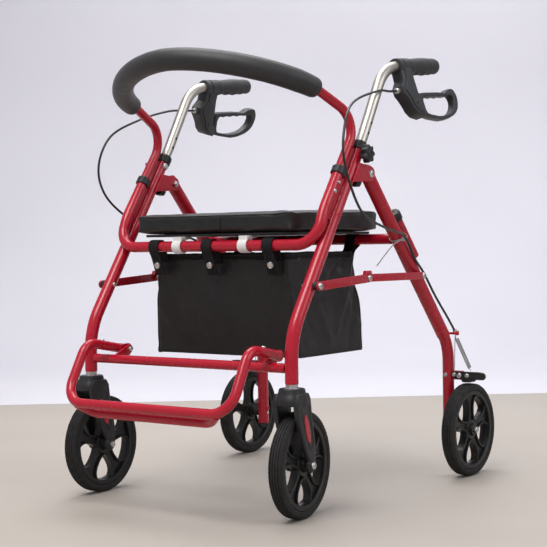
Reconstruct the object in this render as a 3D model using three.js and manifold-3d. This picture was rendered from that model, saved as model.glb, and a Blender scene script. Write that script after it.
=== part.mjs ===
// A folding rollator walker with a seat, a backrest bow, a basket, a footrest and loop brakes.
//
// Frame: millimetres, +Z up, +X to one side, the front of the walker faces -Y. Inside this file
// y = 0 lies 66 mm behind the caster stems; the last lines move the whole walker so that the
// origin is on the floor under the middle of its overall length.
import * as THREE from "three";
import { mergeVertices } from "three/addons/utils/BufferGeometryUtils.js";
import Module from "manifold-3d";

const wasm = await Module();
wasm.setup();

// ---------------------------------------------------------------- driving dimensions
const GAP = 0.3; // clearance between pieces that touch
const HALF_TRACK = 256; // centre plane of each leg from the middle of the walker

// front legs: vertical below, leaning back above the bend
const LEG_R = 12.7;
const LEG_LEAN = 33.6; // degrees from vertical
const STEM_Y = -66; // caster stem axis
const LEG_BOTTOM_Z = 253;
const LEG_BEND_Z = 340; // where the two straight runs would meet
const LEG_BEND_R = 150;
const LEG_TOP_Z = 700;

// handles
const HANDLE_R = 11;
const HANDLE_INSERT = 130; // length of the handle tube inside the leg
const HANDLE_LEAN = 29.5; // degrees from vertical above the collar
const HANDLE_KINK_Z = 722; // where the tube turns from the leg's lean to its own
const HANDLE_BEND_R = 88;
const GRIP_HEIGHT = 872; // grip axis above the floor at the clamp
const GRIP_RISE = 6; // degrees, rising to the rear
const CLAMP_Y = 326; // middle of the brake clamp
const KNOB_DROP = 16; // knob axis below the leg's top
const KNOB_R = 18;
const KNOB_STUD_R = 3;
const GRIP_START = 33; // from the clamp's middle to the grip
const GRIP_LENGTH = 119;
const GRIP_R = 16;

// seat frame and backrest
const SEAT_RAIL_R = 11;
const SEAT_RAIL_X = 254;
const SEAT_RAIL_Y = 22;
const SEAT_RAIL_Z = 508;
const SOCKET_TOP = new THREE.Vector2(102, 650); // y and z of the backrest socket's mouth
const BACKREST_R = 9;
const BACKREST_INSERT = 70;
const BUTTON_R = 3;
const BUTTON_DROP = 28; // from the socket's mouth down the tube
const BUTTON_PROUD = 2.6;
const BOW_END = new THREE.Vector3(234.5, 57.5, 806); // where the foam starts
const BOW_FRONT = new THREE.Vector2(-108.3, 866.4); // y and z of the middle of the bow
const FOAM_R = 22;

// rear frame
const HINGE = new THREE.Vector2(187, 646); // y and z of the folding hinge
const HINGE_BOLT_R = 4;
const REAR_LEG_R = 14.3;
const REAR_LEG_LEAN = 41.5; // degrees from vertical
const REAR_LEG_POINT = new THREE.Vector2(227.3, 614.4); // a point on the upper axis
const REAR_LOWER_R = 12.7;
const REAR_LOWER_Y = 521;
const REAR_BEND_R = 90;
const REAR_LEG_BOTTOM_Z = 76;
const REAR_RAIL_R = 11;
const REAR_RAIL_Z = 516.8;
const SPARE_SOCKET_Z = 548; // height on the rear leg where the spare socket begins
const SPARE_SOCKET_LENGTH = 112;

// wheels
const WHEEL_R = 100;
const WHEEL_WIDTH = 28;
const RIM_R = 85;
const RIM_WIDTH = 23;
const HUB_WIDTH = 31.4;
const HUB_R = 17;
const SPOKES = 5;
const RIM_INNER_R = 74;
const AXLE_R = 4;
const REAR_AXLE_Y = 523;
const REAR_WHEEL_X = 303;
const CASTER_TRAIL = 27;
const CASTER_REST_RIGHT = 6.9; // degrees the caster stands turned
const CASTER_REST_LEFT = 2.3;
const FORK_TOP_Z = 245;
const FORK_TOP_R = 24;
const FORK_HALF_WIDTH = 27;
const STEM_R = 9.3;
const STEM_INSERT = 44;
const STEM_FLANGE_R = 11.6;

// cross bar and footrest
const CROSSBAR_R = 9;
const CROSSBAR_Z = 281;
const FOOTREST_R = 9.5;
const FOOTREST_X = 206;
const FOOTREST_PIVOT = new THREE.Vector2(-22, 299);
const FOOTREST_FRONT = new THREE.Vector2(-190, 205);
const LUG_X = 189;
const LUG_HALF = 2;
const EAR_THICKNESS = 5;
const PIVOT_PIN_R = 3;
const PIVOT_HEAD_R = 6;

// stays between the front and the rear legs
const STAY_FRONT_Z = 430.5;
const STAY_REAR_Z = 438.8;
const STAY_MID = new THREE.Vector2(165, 440.5);
const STAY_HALF_HEIGHT = 8.5;
const STAY_THICKNESS = 4;
const STAY_X = HALF_TRACK + 21.6; // inner face of the front link

// seat and basket
const SEAT_HALF_WIDTH = 202;
const SEAT_FRONT_Y = 18.5;
const SEAT_DEPTH = 312;
const SEAT_BOTTOM_Z = 528;
const SEAT_BOARD = 8;
const SEAT_TOP_Z = 574;
const CLIP_X = 85;
const SEAT_CORNER = 26;
const STRAP_X = 146;
const STRAP_WIDTH = 25;
const STRAP_THICKNESS = 2.5;
const BASKET_HALF_WIDTH = 176;
const BASKET_FRONT_Y = 56;
const BASKET_REAR_Y = 288;
const BASKET_TOP_Z = 486;
const BASKET_BOTTOM_Z = 290;
const BASKET_WALL = 3;

// brakes
const BRAKE_TILT = 15.6; // degrees the lever plane leans outwards
const ADJUSTER_END = -40; // along the grip from the clamp
const ADJUSTER_DROP = 52; // below the grip
const HOUSING_HALF = 14;
const LEVER_HALF = 10;
const LEVER_PIVOT = new THREE.Vector2(5, 82); // along the grip and below it
const BRAKE_PIVOT_X = 287;
const BRAKE_ARM_Y = 516;
const BRAKE_ARM_Z = 217;
const SHOE_CLEARANCE = 2.8;
const STOP_TOP_Z = 311; // top of the cable's stop on the rear leg
const CABLE_X = 274; // cable and stop from the middle of the walker
const CABLE_R = 2.5;

const TUBE_SIDES = 14;
const TYRE_SEGMENTS = 36;

// ---------------------------------------------------------------- materials
const paint = (color, roughness, metalness) =>
  new THREE.MeshStandardMaterial({ color, roughness, metalness });
const RED = () => paint(0xb5162b, 0.25, 0.35);
const SATIN = () => paint(0xb9b2a8, 0.35, 0.9);
const STEEL = () => paint(0xc8c8ca, 0.3, 0.95);
const PLASTIC = () => paint(0x1d1f22, 0.55, 0);
const RUBBER = () => paint(0x26262a, 0.8, 0);
const FOAM = () => paint(0x303033, 0.85, 0);
const FABRIC = () => paint(0x17171a, 0.9, 0);
const WHITE = () => paint(0xe6e6e6, 0.5, 0);

// ---------------------------------------------------------------- helpers
const rad = THREE.MathUtils.degToRad;
const at = (x, y, z) => new THREE.Vector3(x, y, z);

// A path that has a point only where it starts, ends or bends.
class BentPath extends THREE.Curve {
  constructor(points) {
    super();
    this.points = points;
  }

  getPoint(t, target = new THREE.Vector3()) {
    const last = this.points.length - 1;
    const place = Math.min(Math.max(t, 0), 1) * last;
    const i = Math.min(Math.floor(place), last - 1);
    return target.copy(this.points[i]).lerp(this.points[i + 1], place - i);
  }

  getPointAt(t, target) {
    return this.getPoint(t, target);
  }

  getTangent(t, target = new THREE.Vector3()) {
    const last = this.points.length - 1;
    const i = Math.round(t * last);
    const before = this.points[Math.max(i - 1, 0)];
    const here = this.points[i];
    const after = this.points[Math.min(i + 1, last)];
    const leaving = after.clone().sub(here).normalize();
    const arriving = here.clone().sub(before).normalize();
    return target.copy(arriving).add(leaving).normalize();
  }

  getTangentAt(t, target) {
    return this.getTangent(t, target);
  }
}

// Straight runs between corners, each inner corner rounded to its own radius.
function bentPath(corners, radii, degreesPerStep = 13) {
  const points = [corners[0]];
  for (let i = 1; i < corners.length - 1; i++) {
    const corner = corners[i];
    const back = corners[i - 1].clone().sub(corner).normalize();
    const ahead = corners[i + 1].clone().sub(corner).normalize();
    const turn = Math.PI - back.angleTo(ahead);
    const reach = radii[i - 1] * Math.tan(turn / 2);
    const middle = back.clone().add(ahead).normalize();
    const centre = corner.clone().addScaledVector(middle, radii[i - 1] / Math.cos(turn / 2));
    const spoke = corner.clone().addScaledVector(back, reach).sub(centre);
    const axis = back.clone().cross(ahead).normalize();
    const steps = Math.max(2, Math.ceil(THREE.MathUtils.radToDeg(turn) / degreesPerStep));
    for (let k = 0; k <= steps; k++) {
      points.push(spoke.clone().applyAxisAngle(axis, (-turn * k) / steps).add(centre));
    }
  }
  points.push(corners.at(-1));
  return new BentPath(points);
}

function polygon(radius, sides) {
  const points = [];
  for (let i = 0; i < sides; i++) {
    const angle = ((i + 0.5) * 2 * Math.PI) / sides;
    points.push(new THREE.Vector2(radius * Math.cos(angle), radius * Math.sin(angle)));
  }
  return points;
}

// A round tube, solid or with a bore, along a path.
function tube(path, radius, sides = TUBE_SIDES, bore = 0) {
  const section = new THREE.Shape(polygon(radius, sides));
  if (bore > 0) section.holes.push(new THREE.Path(polygon(bore, sides)));
  const steps = path.points.length - 1;
  return new THREE.ExtrudeGeometry(section, { extrudePath: path, steps, curveSegments: 1 });
}

const rod = (from, to, radius, sides = TUBE_SIDES) => tube(new BentPath([from, to]), radius, sides);

// A drill whose flats, not its edges, stand at the given radius.
const drill = (from, to, radius, sides = TUBE_SIDES) =>
  rod(from, to, radius / Math.cos(Math.PI / sides), sides);

// A round pin along X with a head at its outer end.
function headedPin(x0, x1, y, z, radius, headRadius, headLength) {
  const pin = rod(at(x0, y, z), at(x1 + headLength / 2, y, z), radius, 10);
  const head = rod(at(x1, y, z), at(x1 + headLength, y, z), headRadius, 12);
  return join(pin, head);
}

// A solid of revolution about the world X axis; profile points are [x, radius].
function turnedX(profile, segments, halfStep = false) {
  const points = profile.map(([x, r]) => new THREE.Vector2(r, x));
  const start = halfStep ? Math.PI / segments : 0;
  const shape = new THREE.LatheGeometry(points, segments, start, Math.PI * 2);
  return shape.rotateZ(-Math.PI / 2);
}

// An outline in the YZ plane, given as [y, z], with its thickness along X from x0 to x1.
function plateX(outline, x0, x1, holes = []) {
  const shape = new THREE.Shape(outline.map(([y, z]) => new THREE.Vector2(y, z)));
  for (const hole of holes) {
    shape.holes.push(new THREE.Path(hole.map(([y, z]) => new THREE.Vector2(y, z))));
  }
  const plate = new THREE.ExtrudeGeometry(shape, { depth: x1 - x0, bevelEnabled: false });
  // (shape x, shape y, depth) becomes (world y, world z, world x)
  const turn = new THREE.Matrix4().set(0, 0, 1, x0, 1, 0, 0, 0, 0, 1, 0, 0, 0, 0, 0, 1);
  return plate.applyMatrix4(turn);
}

function box(low, high) {
  const size = high.clone().sub(low);
  const middle = low.clone().add(high).multiplyScalar(0.5);
  return new THREE.BoxGeometry(size.x, size.y, size.z).translate(middle.x, middle.y, middle.z);
}

// Points [y, z] on an arc, for outlines.
function arc(cy, cz, radius, fromDegrees, toDegrees, steps) {
  const points = [];
  for (let i = 0; i <= steps; i++) {
    const angle = rad(fromDegrees + ((toDegrees - fromDegrees) * i) / steps);
    points.push([cy + radius * Math.cos(angle), cz + radius * Math.sin(angle)]);
  }
  return points;
}

const circle = (cy, cz, radius, sides = 16) =>
  arc(cy, cz, radius, 0, 360 - 360 / sides, sides - 1);

const roundHole = (cy, cz, radius, sides = 12) =>
  circle(cy, cz, radius / Math.cos(Math.PI / sides), sides).reverse();

// Booleans.
function toSolid(geometry) {
  const bare = geometry.index ? geometry.toNonIndexed() : geometry.clone();
  for (const name of Object.keys(bare.attributes)) {
    if (name !== "position") bare.deleteAttribute(name);
  }
  const merged = mergeVertices(bare, 1e-3);
  const solid = new wasm.Manifold(
    new wasm.Mesh({
      numProp: 3,
      vertProperties: new Float32Array(merged.attributes.position.array),
      triVerts: new Uint32Array(merged.index.array),
    }),
  );
  return solid;
}

function fromSolid(solid) {
  const mesh = solid.getMesh();
  const geometry = new THREE.BufferGeometry();
  geometry.setAttribute("position", new THREE.BufferAttribute(mesh.vertProperties, 3));
  geometry.setIndex(new THREE.BufferAttribute(mesh.triVerts, 1));
  return geometry;
}

function join(first, ...others) {
  const total = others.reduce((sum, next) => sum.add(toSolid(next)), toSolid(first));
  return fromSolid(total);
}

function cut(first, ...others) {
  const rest = others.reduce((sum, next) => sum.subtract(toSolid(next)), toSolid(first));
  return fromSolid(rest);
}

const walker = new THREE.Group();

function add(group, name, geometry, material) {
  const mesh = new THREE.Mesh(geometry, material);
  mesh.name = name;
  group.add(mesh);
  return mesh;
}

// ---------------------------------------------------------------- shared paths and places
const legTan = Math.tan(rad(LEG_LEAN));
const legY = (z) => STEM_Y + (z - LEG_BEND_Z) * legTan; // leaning run of the front leg
const legDirection = at(0, Math.sin(rad(LEG_LEAN)), Math.cos(rad(LEG_LEAN)));

const rearTan = Math.tan(rad(REAR_LEG_LEAN));
const rearLegY = (z) => REAR_LEG_POINT.x + (REAR_LEG_POINT.y - z) * rearTan;
const rearBendZ = REAR_LEG_POINT.y - (REAR_LOWER_Y - REAR_LEG_POINT.x) / rearTan;
const rearDirection = at(0, Math.sin(rad(REAR_LEG_LEAN)), -Math.cos(rad(REAR_LEG_LEAN)));
const REAR_RAIL_Y = rearLegY(REAR_RAIL_Z);

const legPath = bentPath(
  [
    at(HALF_TRACK, STEM_Y, LEG_BOTTOM_Z),
    at(HALF_TRACK, STEM_Y, LEG_BEND_Z),
    at(HALF_TRACK, legY(LEG_TOP_Z), LEG_TOP_Z),
  ],
  [LEG_BEND_R],
);

// The handle: inside the leg, a slight kink above the collar, then a bend into the grip.
const clamp = at(HALF_TRACK, CLAMP_Y, GRIP_HEIGHT);
const gripDirection = at(0, Math.cos(rad(GRIP_RISE)), Math.sin(rad(GRIP_RISE)));
const kink = at(HALF_TRACK, legY(HANDLE_KINK_Z), HANDLE_KINK_Z);
const handleTan = Math.tan(rad(HANDLE_LEAN));
const riseTan = Math.tan(rad(GRIP_RISE));
const cornerZ =
  (GRIP_HEIGHT + riseTan * (kink.y - handleTan * kink.z - CLAMP_Y)) / (1 - riseTan * handleTan);
const handleCorner = at(HALF_TRACK, kink.y + handleTan * (cornerZ - kink.z), cornerZ);
const handleBottom = at(HALF_TRACK, legY(LEG_TOP_Z), LEG_TOP_Z).addScaledVector(
  legDirection,
  -HANDLE_INSERT,
);
const gripEnd = clamp.clone().addScaledVector(gripDirection, GRIP_START + GRIP_LENGTH);
const tubeEnd = gripEnd.clone().addScaledVector(gripDirection, -8);
const handlePath = bentPath([handleBottom, kink, handleCorner, tubeEnd], [200, HANDLE_BEND_R], 10);

// The seat rail is one U: socket, side, front run, side, socket.
const socketKnee = new THREE.Vector2(48, 572);
const railHalf = [
  at(SEAT_RAIL_X, SOCKET_TOP.x, SOCKET_TOP.y),
  at(SEAT_RAIL_X, socketKnee.x, socketKnee.y),
  at(SEAT_RAIL_X, SEAT_RAIL_Y, SEAT_RAIL_Z),
];
const mirrored = (point) => at(-point.x, point.y, point.z);
const railPath = bentPath([...railHalf, ...railHalf.map(mirrored).reverse()], [120, 46, 46, 120]);
const socketDirection = railHalf[0].clone().sub(railHalf[1]).normalize();

// The backrest bar leaves the sockets, bends forwards and runs round the bow.
const backrestBottom = railHalf[0].clone().addScaledVector(socketDirection, -BACKREST_INSERT);
const stayFrontPivot = new THREE.Vector2(legY(STAY_FRONT_Z), STAY_FRONT_Z);
const stayRearPivot = new THREE.Vector2(rearLegY(STAY_REAR_Z), STAY_REAR_Z);
const KNOB_Z = LEG_TOP_Z - KNOB_DROP;
const backrestShoulder = railHalf[0].clone().addScaledVector(socketDirection, 124);
const BOW_STEPS = 20;
const bow = [];
for (let i = 0; i <= BOW_STEPS; i++) {
  const angle = -Math.PI / 2 + (Math.PI * i) / BOW_STEPS;
  const depth = Math.cos(angle) ** 1.12;
  bow.push(
    at(
      -BOW_END.x * Math.sign(angle) * Math.abs(Math.sin(angle)) ** 1.12,
      BOW_END.y + (BOW_FRONT.x - BOW_END.y) * depth,
      BOW_END.z + (BOW_FRONT.y - BOW_END.z) * depth ** 1.05,
    ),
  );
}
const shoulderHalf = bentPath([backrestBottom, backrestShoulder, bow[0]], [48]).points;
const barPoints = [...shoulderHalf, ...bow.slice(1, -1), ...shoulderHalf.map(mirrored).reverse()];
const barPath = new BentPath(barPoints);
const bowPath = new BentPath(bow);

// A frame at the clamp: across, along the grip and down from it, leaning with the lever.
const clampFrame = new THREE.Matrix4()
  .makeTranslation(clamp.x, clamp.y, clamp.z)
  .multiply(new THREE.Matrix4().makeRotationX(rad(GRIP_RISE)))
  .multiply(new THREE.Matrix4().makeRotationY(-rad(BRAKE_TILT)));

// The cable route on one side, from the lever's adjuster to the stop on the rear leg.
const CABLE_POINTS = [
  at(0, ADJUSTER_END - GAP, -ADJUSTER_DROP).applyMatrix4(clampFrame),
  at(0, ADJUSTER_END - 26, -ADJUSTER_DROP).applyMatrix4(clampFrame),
  at(277, 213, 811),
  at(283, 121, 785),
  at(305, 54, 746),
  at(315, 27, 679),
  at(315, 51, 616),
  at(300, 119, 564),
  at(291, 210, 539),
  at(279, 303, 521),
  at(274, 352, 472),
  at(270.5, 392, 449),
  at(272, 440, 389),
  at(CABLE_X, 518, 331),
  at(CABLE_X, 521, STOP_TOP_Z + GAP),
];
const CABLE_TIE = 9; // the point above where the cable is tied to the rear leg
const CABLE_STEP = 19;

// ---------------------------------------------------------------- front frame
function frontLeg() {
  const top = at(HALF_TRACK, legY(LEG_TOP_Z), LEG_TOP_Z);
  const boreBottom = top.clone().addScaledVector(legDirection, -HANDLE_INSERT - 8);
  const boreTop = top.clone().addScaledVector(legDirection, 5);
  const handleBore = rod(boreBottom, boreTop, HANDLE_R + GAP);
  const stemBore = drill(
    at(HALF_TRACK, STEM_Y, LEG_BOTTOM_Z - 5),
    at(HALF_TRACK, STEM_Y, LEG_BOTTOM_Z + STEM_INSERT + 4),
    STEM_R + GAP,
    16,
  );

  // hinge bracket: a channel whose cheeks hold the rear leg's top
  const cheek = REAR_LEG_R + 0.8;
  const reach = 14;
  const low = HINGE.y - 17;
  const bracket = plateX(
    [
      [legY(low) - 2, low],
      ...arc(HINGE.x, HINGE.y, reach, -80, 80, 8),
      [legY(HINGE.y + 14) - 2, HINGE.y + 14],
    ],
    HALF_TRACK - cheek - 3,
    HALF_TRACK + cheek + 3,
  );
  const slot = plateX(
    circle(HINGE.x + 4, HINGE.y, 33, 24),
    HALF_TRACK - cheek,
    HALF_TRACK + cheek,
  );
  const boltEnd = cheek + 3;
  const bolt = headedPin(-boltEnd + 1, boltEnd, HINGE.x, HINGE.y, HINGE_BOLT_R, 7, 4);
  bolt.translate(HALF_TRACK, 0, 0);

  // two weld plates reach forwards to the seat rail's side tube
  const plates = [620, 568].map((z) =>
    box(at(HALF_TRACK - 4, legY(z) - 40, z - 7), at(HALF_TRACK + 4, legY(z), z + 7)),
  );
  const railClearance = tube(railPath, SEAT_RAIL_R + GAP, TUBE_SIDES);
  const knobHole = drill(
    at(HALF_TRACK, legY(KNOB_Z), KNOB_Z),
    at(HALF_TRACK + 30, legY(KNOB_Z), KNOB_Z),
    KNOB_STUD_R + GAP,
    10,
  );
  const stayPin = headedPin(
    HALF_TRACK,
    STAY_X + STAY_THICKNESS + GAP,
    stayFrontPivot.x,
    stayFrontPivot.y,
    PIVOT_PIN_R,
    PIVOT_HEAD_R,
    3,
  );
  const spacer = rod(
    at(HALF_TRACK, stayFrontPivot.x, stayFrontPivot.y),
    at(STAY_X - GAP, stayFrontPivot.x, stayFrontPivot.y),
    7.5,
    14,
  );
  const frame = join(tube(legPath, LEG_R), cut(bracket, slot), bolt, stayPin, spacer);
  const leg = cut(join(frame, reachingPart(cut(join(...plates), railClearance))));
  return cut(leg, handleBore, stemBore, knobHole);
}

// Of plates cut through by the rail's clearance, keeps what is between the leg and the rail.
function reachingPart(plates) {
  const pieces = toSolid(plates).decompose();
  const kept = pieces.filter((piece) => {
    const { min, max } = piece.boundingBox();
    return max[1] > legY((min[2] + max[2]) / 2) - 5;
  });
  return fromSolid(kept.reduce((sum, next) => sum.add(next)));
}

function heightKnob() {
  const lobes = 7;
  const outline = [];
  const steps = lobes * 6;
  for (let i = 0; i < steps; i++) {
    const angle = (2 * Math.PI * i) / steps;
    const radius = KNOB_R - 1.6 + 1.6 * Math.cos(lobes * angle);
    outline.push([radius * Math.cos(angle), radius * Math.sin(angle)]);
  }
  const face = LEG_R + 6;
  const head = plateX(outline, face, face + 14);
  const boss = rod(at(LEG_R + GAP, 0, 0), at(face + 2, 0, 0), 7.5, 16);
  const stud = rod(at(HANDLE_R + GAP, 0, 0), at(face, 0, 0), KNOB_STUD_R, 10);
  return join(head, boss, stud).translate(HALF_TRACK, legY(KNOB_Z), KNOB_Z);
}

// A plastic ring that caps a tube's mouth and guides a thinner tube.
function collar(mouth, direction, outerTube, innerTube, length) {
  const outer = outerTube + 3;
  const over = length * 0.6;
  const profile = [
    [-over, outerTube + 0.5],
    [-over, outer - 0.6],
    [-over + 1.5, outer],
    [length - over - 1.5, outer],
    [length - over, outer - 1.2],
    [length - over, innerTube + 0.5],
    [GAP, innerTube + 0.5],
    [GAP, outerTube + 0.5],
    [-over, outerTube + 0.5],
  ];
  const ring = turnedX(profile, 24);
  const turn = new THREE.Quaternion().setFromUnitVectors(at(1, 0, 0), direction);
  return ring.applyQuaternion(turn).translate(mouth.x, mouth.y, mouth.z);
}

function frontSeatRail() {
  const bores = [1, -1].map((side) => {
    const flip = (point) => at(side * point.x, point.y, point.z);
    const bottom = railHalf[0].clone().addScaledVector(socketDirection, -BACKREST_INSERT - 6);
    const top = railHalf[0].clone().addScaledVector(socketDirection, 5);
    return rod(flip(bottom), flip(top), BACKREST_R + GAP);
  });
  return cut(tube(railPath, SEAT_RAIL_R), ...bores, ...[1, -1].map(buttonHole));
}

const buttonPlace = railHalf[0].clone().addScaledVector(socketDirection, -BUTTON_DROP);

function buttonHole(side) {
  return drill(
    at(side * (SEAT_RAIL_X + BACKREST_R - 6.5), buttonPlace.y, buttonPlace.z),
    at(side * (SEAT_RAIL_X + 30), buttonPlace.y, buttonPlace.z),
    BUTTON_R + GAP,
    12,
  );
}

// The sleeve's bore is measured across its flats.
function backrestFoam() {
  const bore = (BACKREST_R + GAP) / Math.cos(Math.PI / TUBE_SIDES);
  return tube(bowPath, FOAM_R, TUBE_SIDES, bore);
}

function backrestButton() {
  const base = BACKREST_R - 3.5;
  const face = SEAT_RAIL_R + BUTTON_PROUD;
  const profile = [
    [base, 0],
    [base, BUTTON_R],
    [face - 1, BUTTON_R],
    [face, BUTTON_R - 1.2],
    [face, 0],
  ];
  return turnedX(profile, 12).translate(SEAT_RAIL_X, buttonPlace.y, buttonPlace.z);
}

function lowerCrossbar() {
  const reach = HALF_TRACK - LEG_R - GAP;
  const bar = rod(at(-reach, STEM_Y, CROSSBAR_Z), at(reach, STEM_Y, CROSSBAR_Z), CROSSBAR_R);
  const lugs = [1, -1].map((side) => {
    const outline = [
      [STEM_Y - 4, CROSSBAR_Z],
      [STEM_Y + 6, CROSSBAR_Z - 4],
      ...arc(FOOTREST_PIVOT.x, FOOTREST_PIVOT.y, 8.5, -70, 110, 7),
      [STEM_Y, CROSSBAR_Z + 8],
    ];
    const middle = side * LUG_X;
    return plateX(outline, middle - LUG_HALF, middle + LUG_HALF);
  });
  const pinEnd = LUG_X + LUG_HALF + GAP + EAR_THICKNESS + GAP;
  const pins = [1, -1].map((side) => {
    const pin = headedPin(
      LUG_X,
      pinEnd,
      FOOTREST_PIVOT.x,
      FOOTREST_PIVOT.y,
      PIVOT_PIN_R,
      PIVOT_HEAD_R,
      3,
    );
    return side > 0 ? pin : pin.rotateZ(Math.PI).translate(0, 2 * FOOTREST_PIVOT.x, 0);
  });
  return join(bar, ...lugs, ...pins);
}

// ---------------------------------------------------------------- handle, grip and brake lever
function grip() {
  const inner = HANDLE_R + 0.5;
  const length = GRIP_LENGTH;
  const profile = [
    [0, inner],
    [0, GRIP_R],
    [length * 0.3, GRIP_R - 0.5],
    [length * 0.6, GRIP_R + 1],
    [length - 14, GRIP_R + 0.5],
    [length - 3, GRIP_R - 2],
    [length, GRIP_R - 5],
    [length, 0],
    [length - 8 + 0.6, 0],
    [length - 8 + 0.6, inner],
    [0, inner],
  ];
  const start = clamp.clone().addScaledVector(gripDirection, GRIP_START);
  const turn = new THREE.Quaternion().setFromUnitVectors(at(1, 0, 0), gripDirection);
  return turnedX(profile, 20).applyQuaternion(turn).translate(start.x, start.y, start.z);
}

const below = (points) => points.map(([along, down]) => [along, -down]);

function brakeHousing() {
  const body = plateX(
    below([
      [-11, 6],
      [-16, 34],
      [-29, 44],
      [-29, 60],
      [-12, 76],
      [-6, 94],
      [6, 106],
      [30, 112],
      [31, 92],
      [23, 84],
      [23, 60],
      [20, 40],
      [17, 6],
    ]),
    -HOUSING_HALF,
    HOUSING_HALF,
  );
  const band = rod(at(0, -12, 0), at(0, 31, 0), HANDLE_R + 6, 20);
  const bore = drill(at(0, -60, 0), at(0, 60, 0), HANDLE_R + GAP);
  const adjuster = rod(
    at(0, -25, -ADJUSTER_DROP),
    at(0, ADJUSTER_END, -ADJUSTER_DROP),
    4.5,
    12,
  );
  const leverSlot = box(at(-5.6, -8, -110), at(5.6, 60, -64));
  const pin = rod(
    at(-HOUSING_HALF + 1, LEVER_PIVOT.x, -LEVER_PIVOT.y),
    at(HOUSING_HALF - 1, LEVER_PIVOT.x, -LEVER_PIVOT.y),
    3,
    10,
  );
  const shell = cut(join(body, band, adjuster), bore, leverSlot);
  return join(shell, pin).applyMatrix4(clampFrame);
}

function brakeLever() {
  const outer = below([
    [34, 60],
    [60, 60],
    [100, 63],
    [140, 60],
    [156, 50],
    [170, 52],
    [184, 60],
    [192, 76],
    [186, 98],
    [162, 114],
    [120, 122],
    [56, 116],
    [34, 104],
  ]);
  const inner = below([
    [42, 70],
    [60, 68],
    [100, 71],
    [142, 69],
    [166, 68],
    [176, 78],
    [170, 92],
    [152, 104],
    [118, 112],
    [60, 106],
    [42, 92],
  ]);
  const loop = plateX(outer, -LEVER_HALF, LEVER_HALF, [inner.reverse()]);
  const tongue = plateX(
    [
      [40, -(LEVER_PIVOT.y + 14)],
      [40, -(LEVER_PIVOT.y - 12)],
      ...arc(LEVER_PIVOT.x, -LEVER_PIVOT.y, 9, 80, 280, 8),
    ],
    -5,
    5,
    [roundHole(LEVER_PIVOT.x, -LEVER_PIVOT.y, 3 + GAP)],
  );
  return join(loop, tongue).applyMatrix4(clampFrame);
}

// ---------------------------------------------------------------- rear frame
function rearLeg() {
  const top = at(HALF_TRACK, rearLegY(HINGE.y), HINGE.y).addScaledVector(rearDirection, -16);
  const sleeveEnd = at(HALF_TRACK, rearLegY(312), 312);
  const upper = rod(top, sleeveEnd, REAR_LEG_R);
  const lower = tube(
    bentPath(
      [
        at(HALF_TRACK, rearLegY(350), 350),
        at(HALF_TRACK, REAR_LOWER_Y, rearBendZ),
        at(HALF_TRACK, REAR_LOWER_Y, REAR_LEG_BOTTOM_Z),
      ],
      [REAR_BEND_R],
    ),
    REAR_LOWER_R,
  );
  const hingeHole = drill(
    at(HALF_TRACK - 40, HINGE.x, HINGE.y),
    at(HALF_TRACK + 40, HINGE.x, HINGE.y),
    HINGE_BOLT_R + GAP,
  );
  const stayPin = headedPin(
    HALF_TRACK,
    STAY_X,
    stayRearPivot.x,
    stayRearPivot.y,
    PIVOT_PIN_R,
    PIVOT_HEAD_R,
    3,
  );
  const axleHole = drill(
    at(HALF_TRACK - 30, REAR_AXLE_Y, WHEEL_R),
    at(HALF_TRACK + 30, REAR_AXLE_Y, WHEEL_R),
    AXLE_R + GAP,
    12,
  );
  // spare backrest socket, welded behind the upper run
  const offset = at(0, Math.cos(rad(REAR_LEG_LEAN)), Math.sin(rad(REAR_LEG_LEAN)));
  const spacing = REAR_LEG_R + SEAT_RAIL_R - 0.8;
  const socketTop = spareMouth();
  const socketEnd = socketTop.clone().addScaledVector(rearDirection, SPARE_SOCKET_LENGTH);
  const socket = rod(socketTop, socketEnd, SEAT_RAIL_R);
  const webMiddle = socketTop.clone().addScaledVector(rearDirection, SPARE_SOCKET_LENGTH / 2);
  webMiddle.addScaledVector(offset, -spacing / 2);
  const web = new THREE.BoxGeometry(6, SPARE_SOCKET_LENGTH * 0.7, spacing * 0.6)
    .applyMatrix4(new THREE.Matrix4().makeRotationX(-rad(90 - REAR_LEG_LEAN)))
    .translate(webMiddle.x, webMiddle.y, webMiddle.z);
  // plate and pin that carry the brake arm, and the cable's stop
  const armPlate = box(
    at(HALF_TRACK, BRAKE_ARM_Y + 3.5, BRAKE_ARM_Z - 10),
    at(BRAKE_PIVOT_X + 7, BRAKE_ARM_Y + 7.5, BRAKE_ARM_Z + 10),
  );
  const armPin = rod(
    at(BRAKE_PIVOT_X, BRAKE_ARM_Y - 7, BRAKE_ARM_Z),
    at(BRAKE_PIVOT_X, BRAKE_ARM_Y + 6, BRAKE_ARM_Z),
    3.2,
    10,
  );
  const stop = box(at(HALF_TRACK + 4, 513, STOP_TOP_Z - 5), at(CABLE_X + 5, 529, STOP_TOP_Z));
  const leg = join(upper, lower, socket, web, armPlate, armPin, stop, stayPin);
  return cut(leg, hingeHole, axleHole);
}

function spareMouth() {
  const offset = at(0, Math.cos(rad(REAR_LEG_LEAN)), Math.sin(rad(REAR_LEG_LEAN)));
  const foot = at(HALF_TRACK, rearLegY(SPARE_SOCKET_Z), SPARE_SOCKET_Z);
  return foot.addScaledVector(offset, REAR_LEG_R + SEAT_RAIL_R - 0.8);
}

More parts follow.
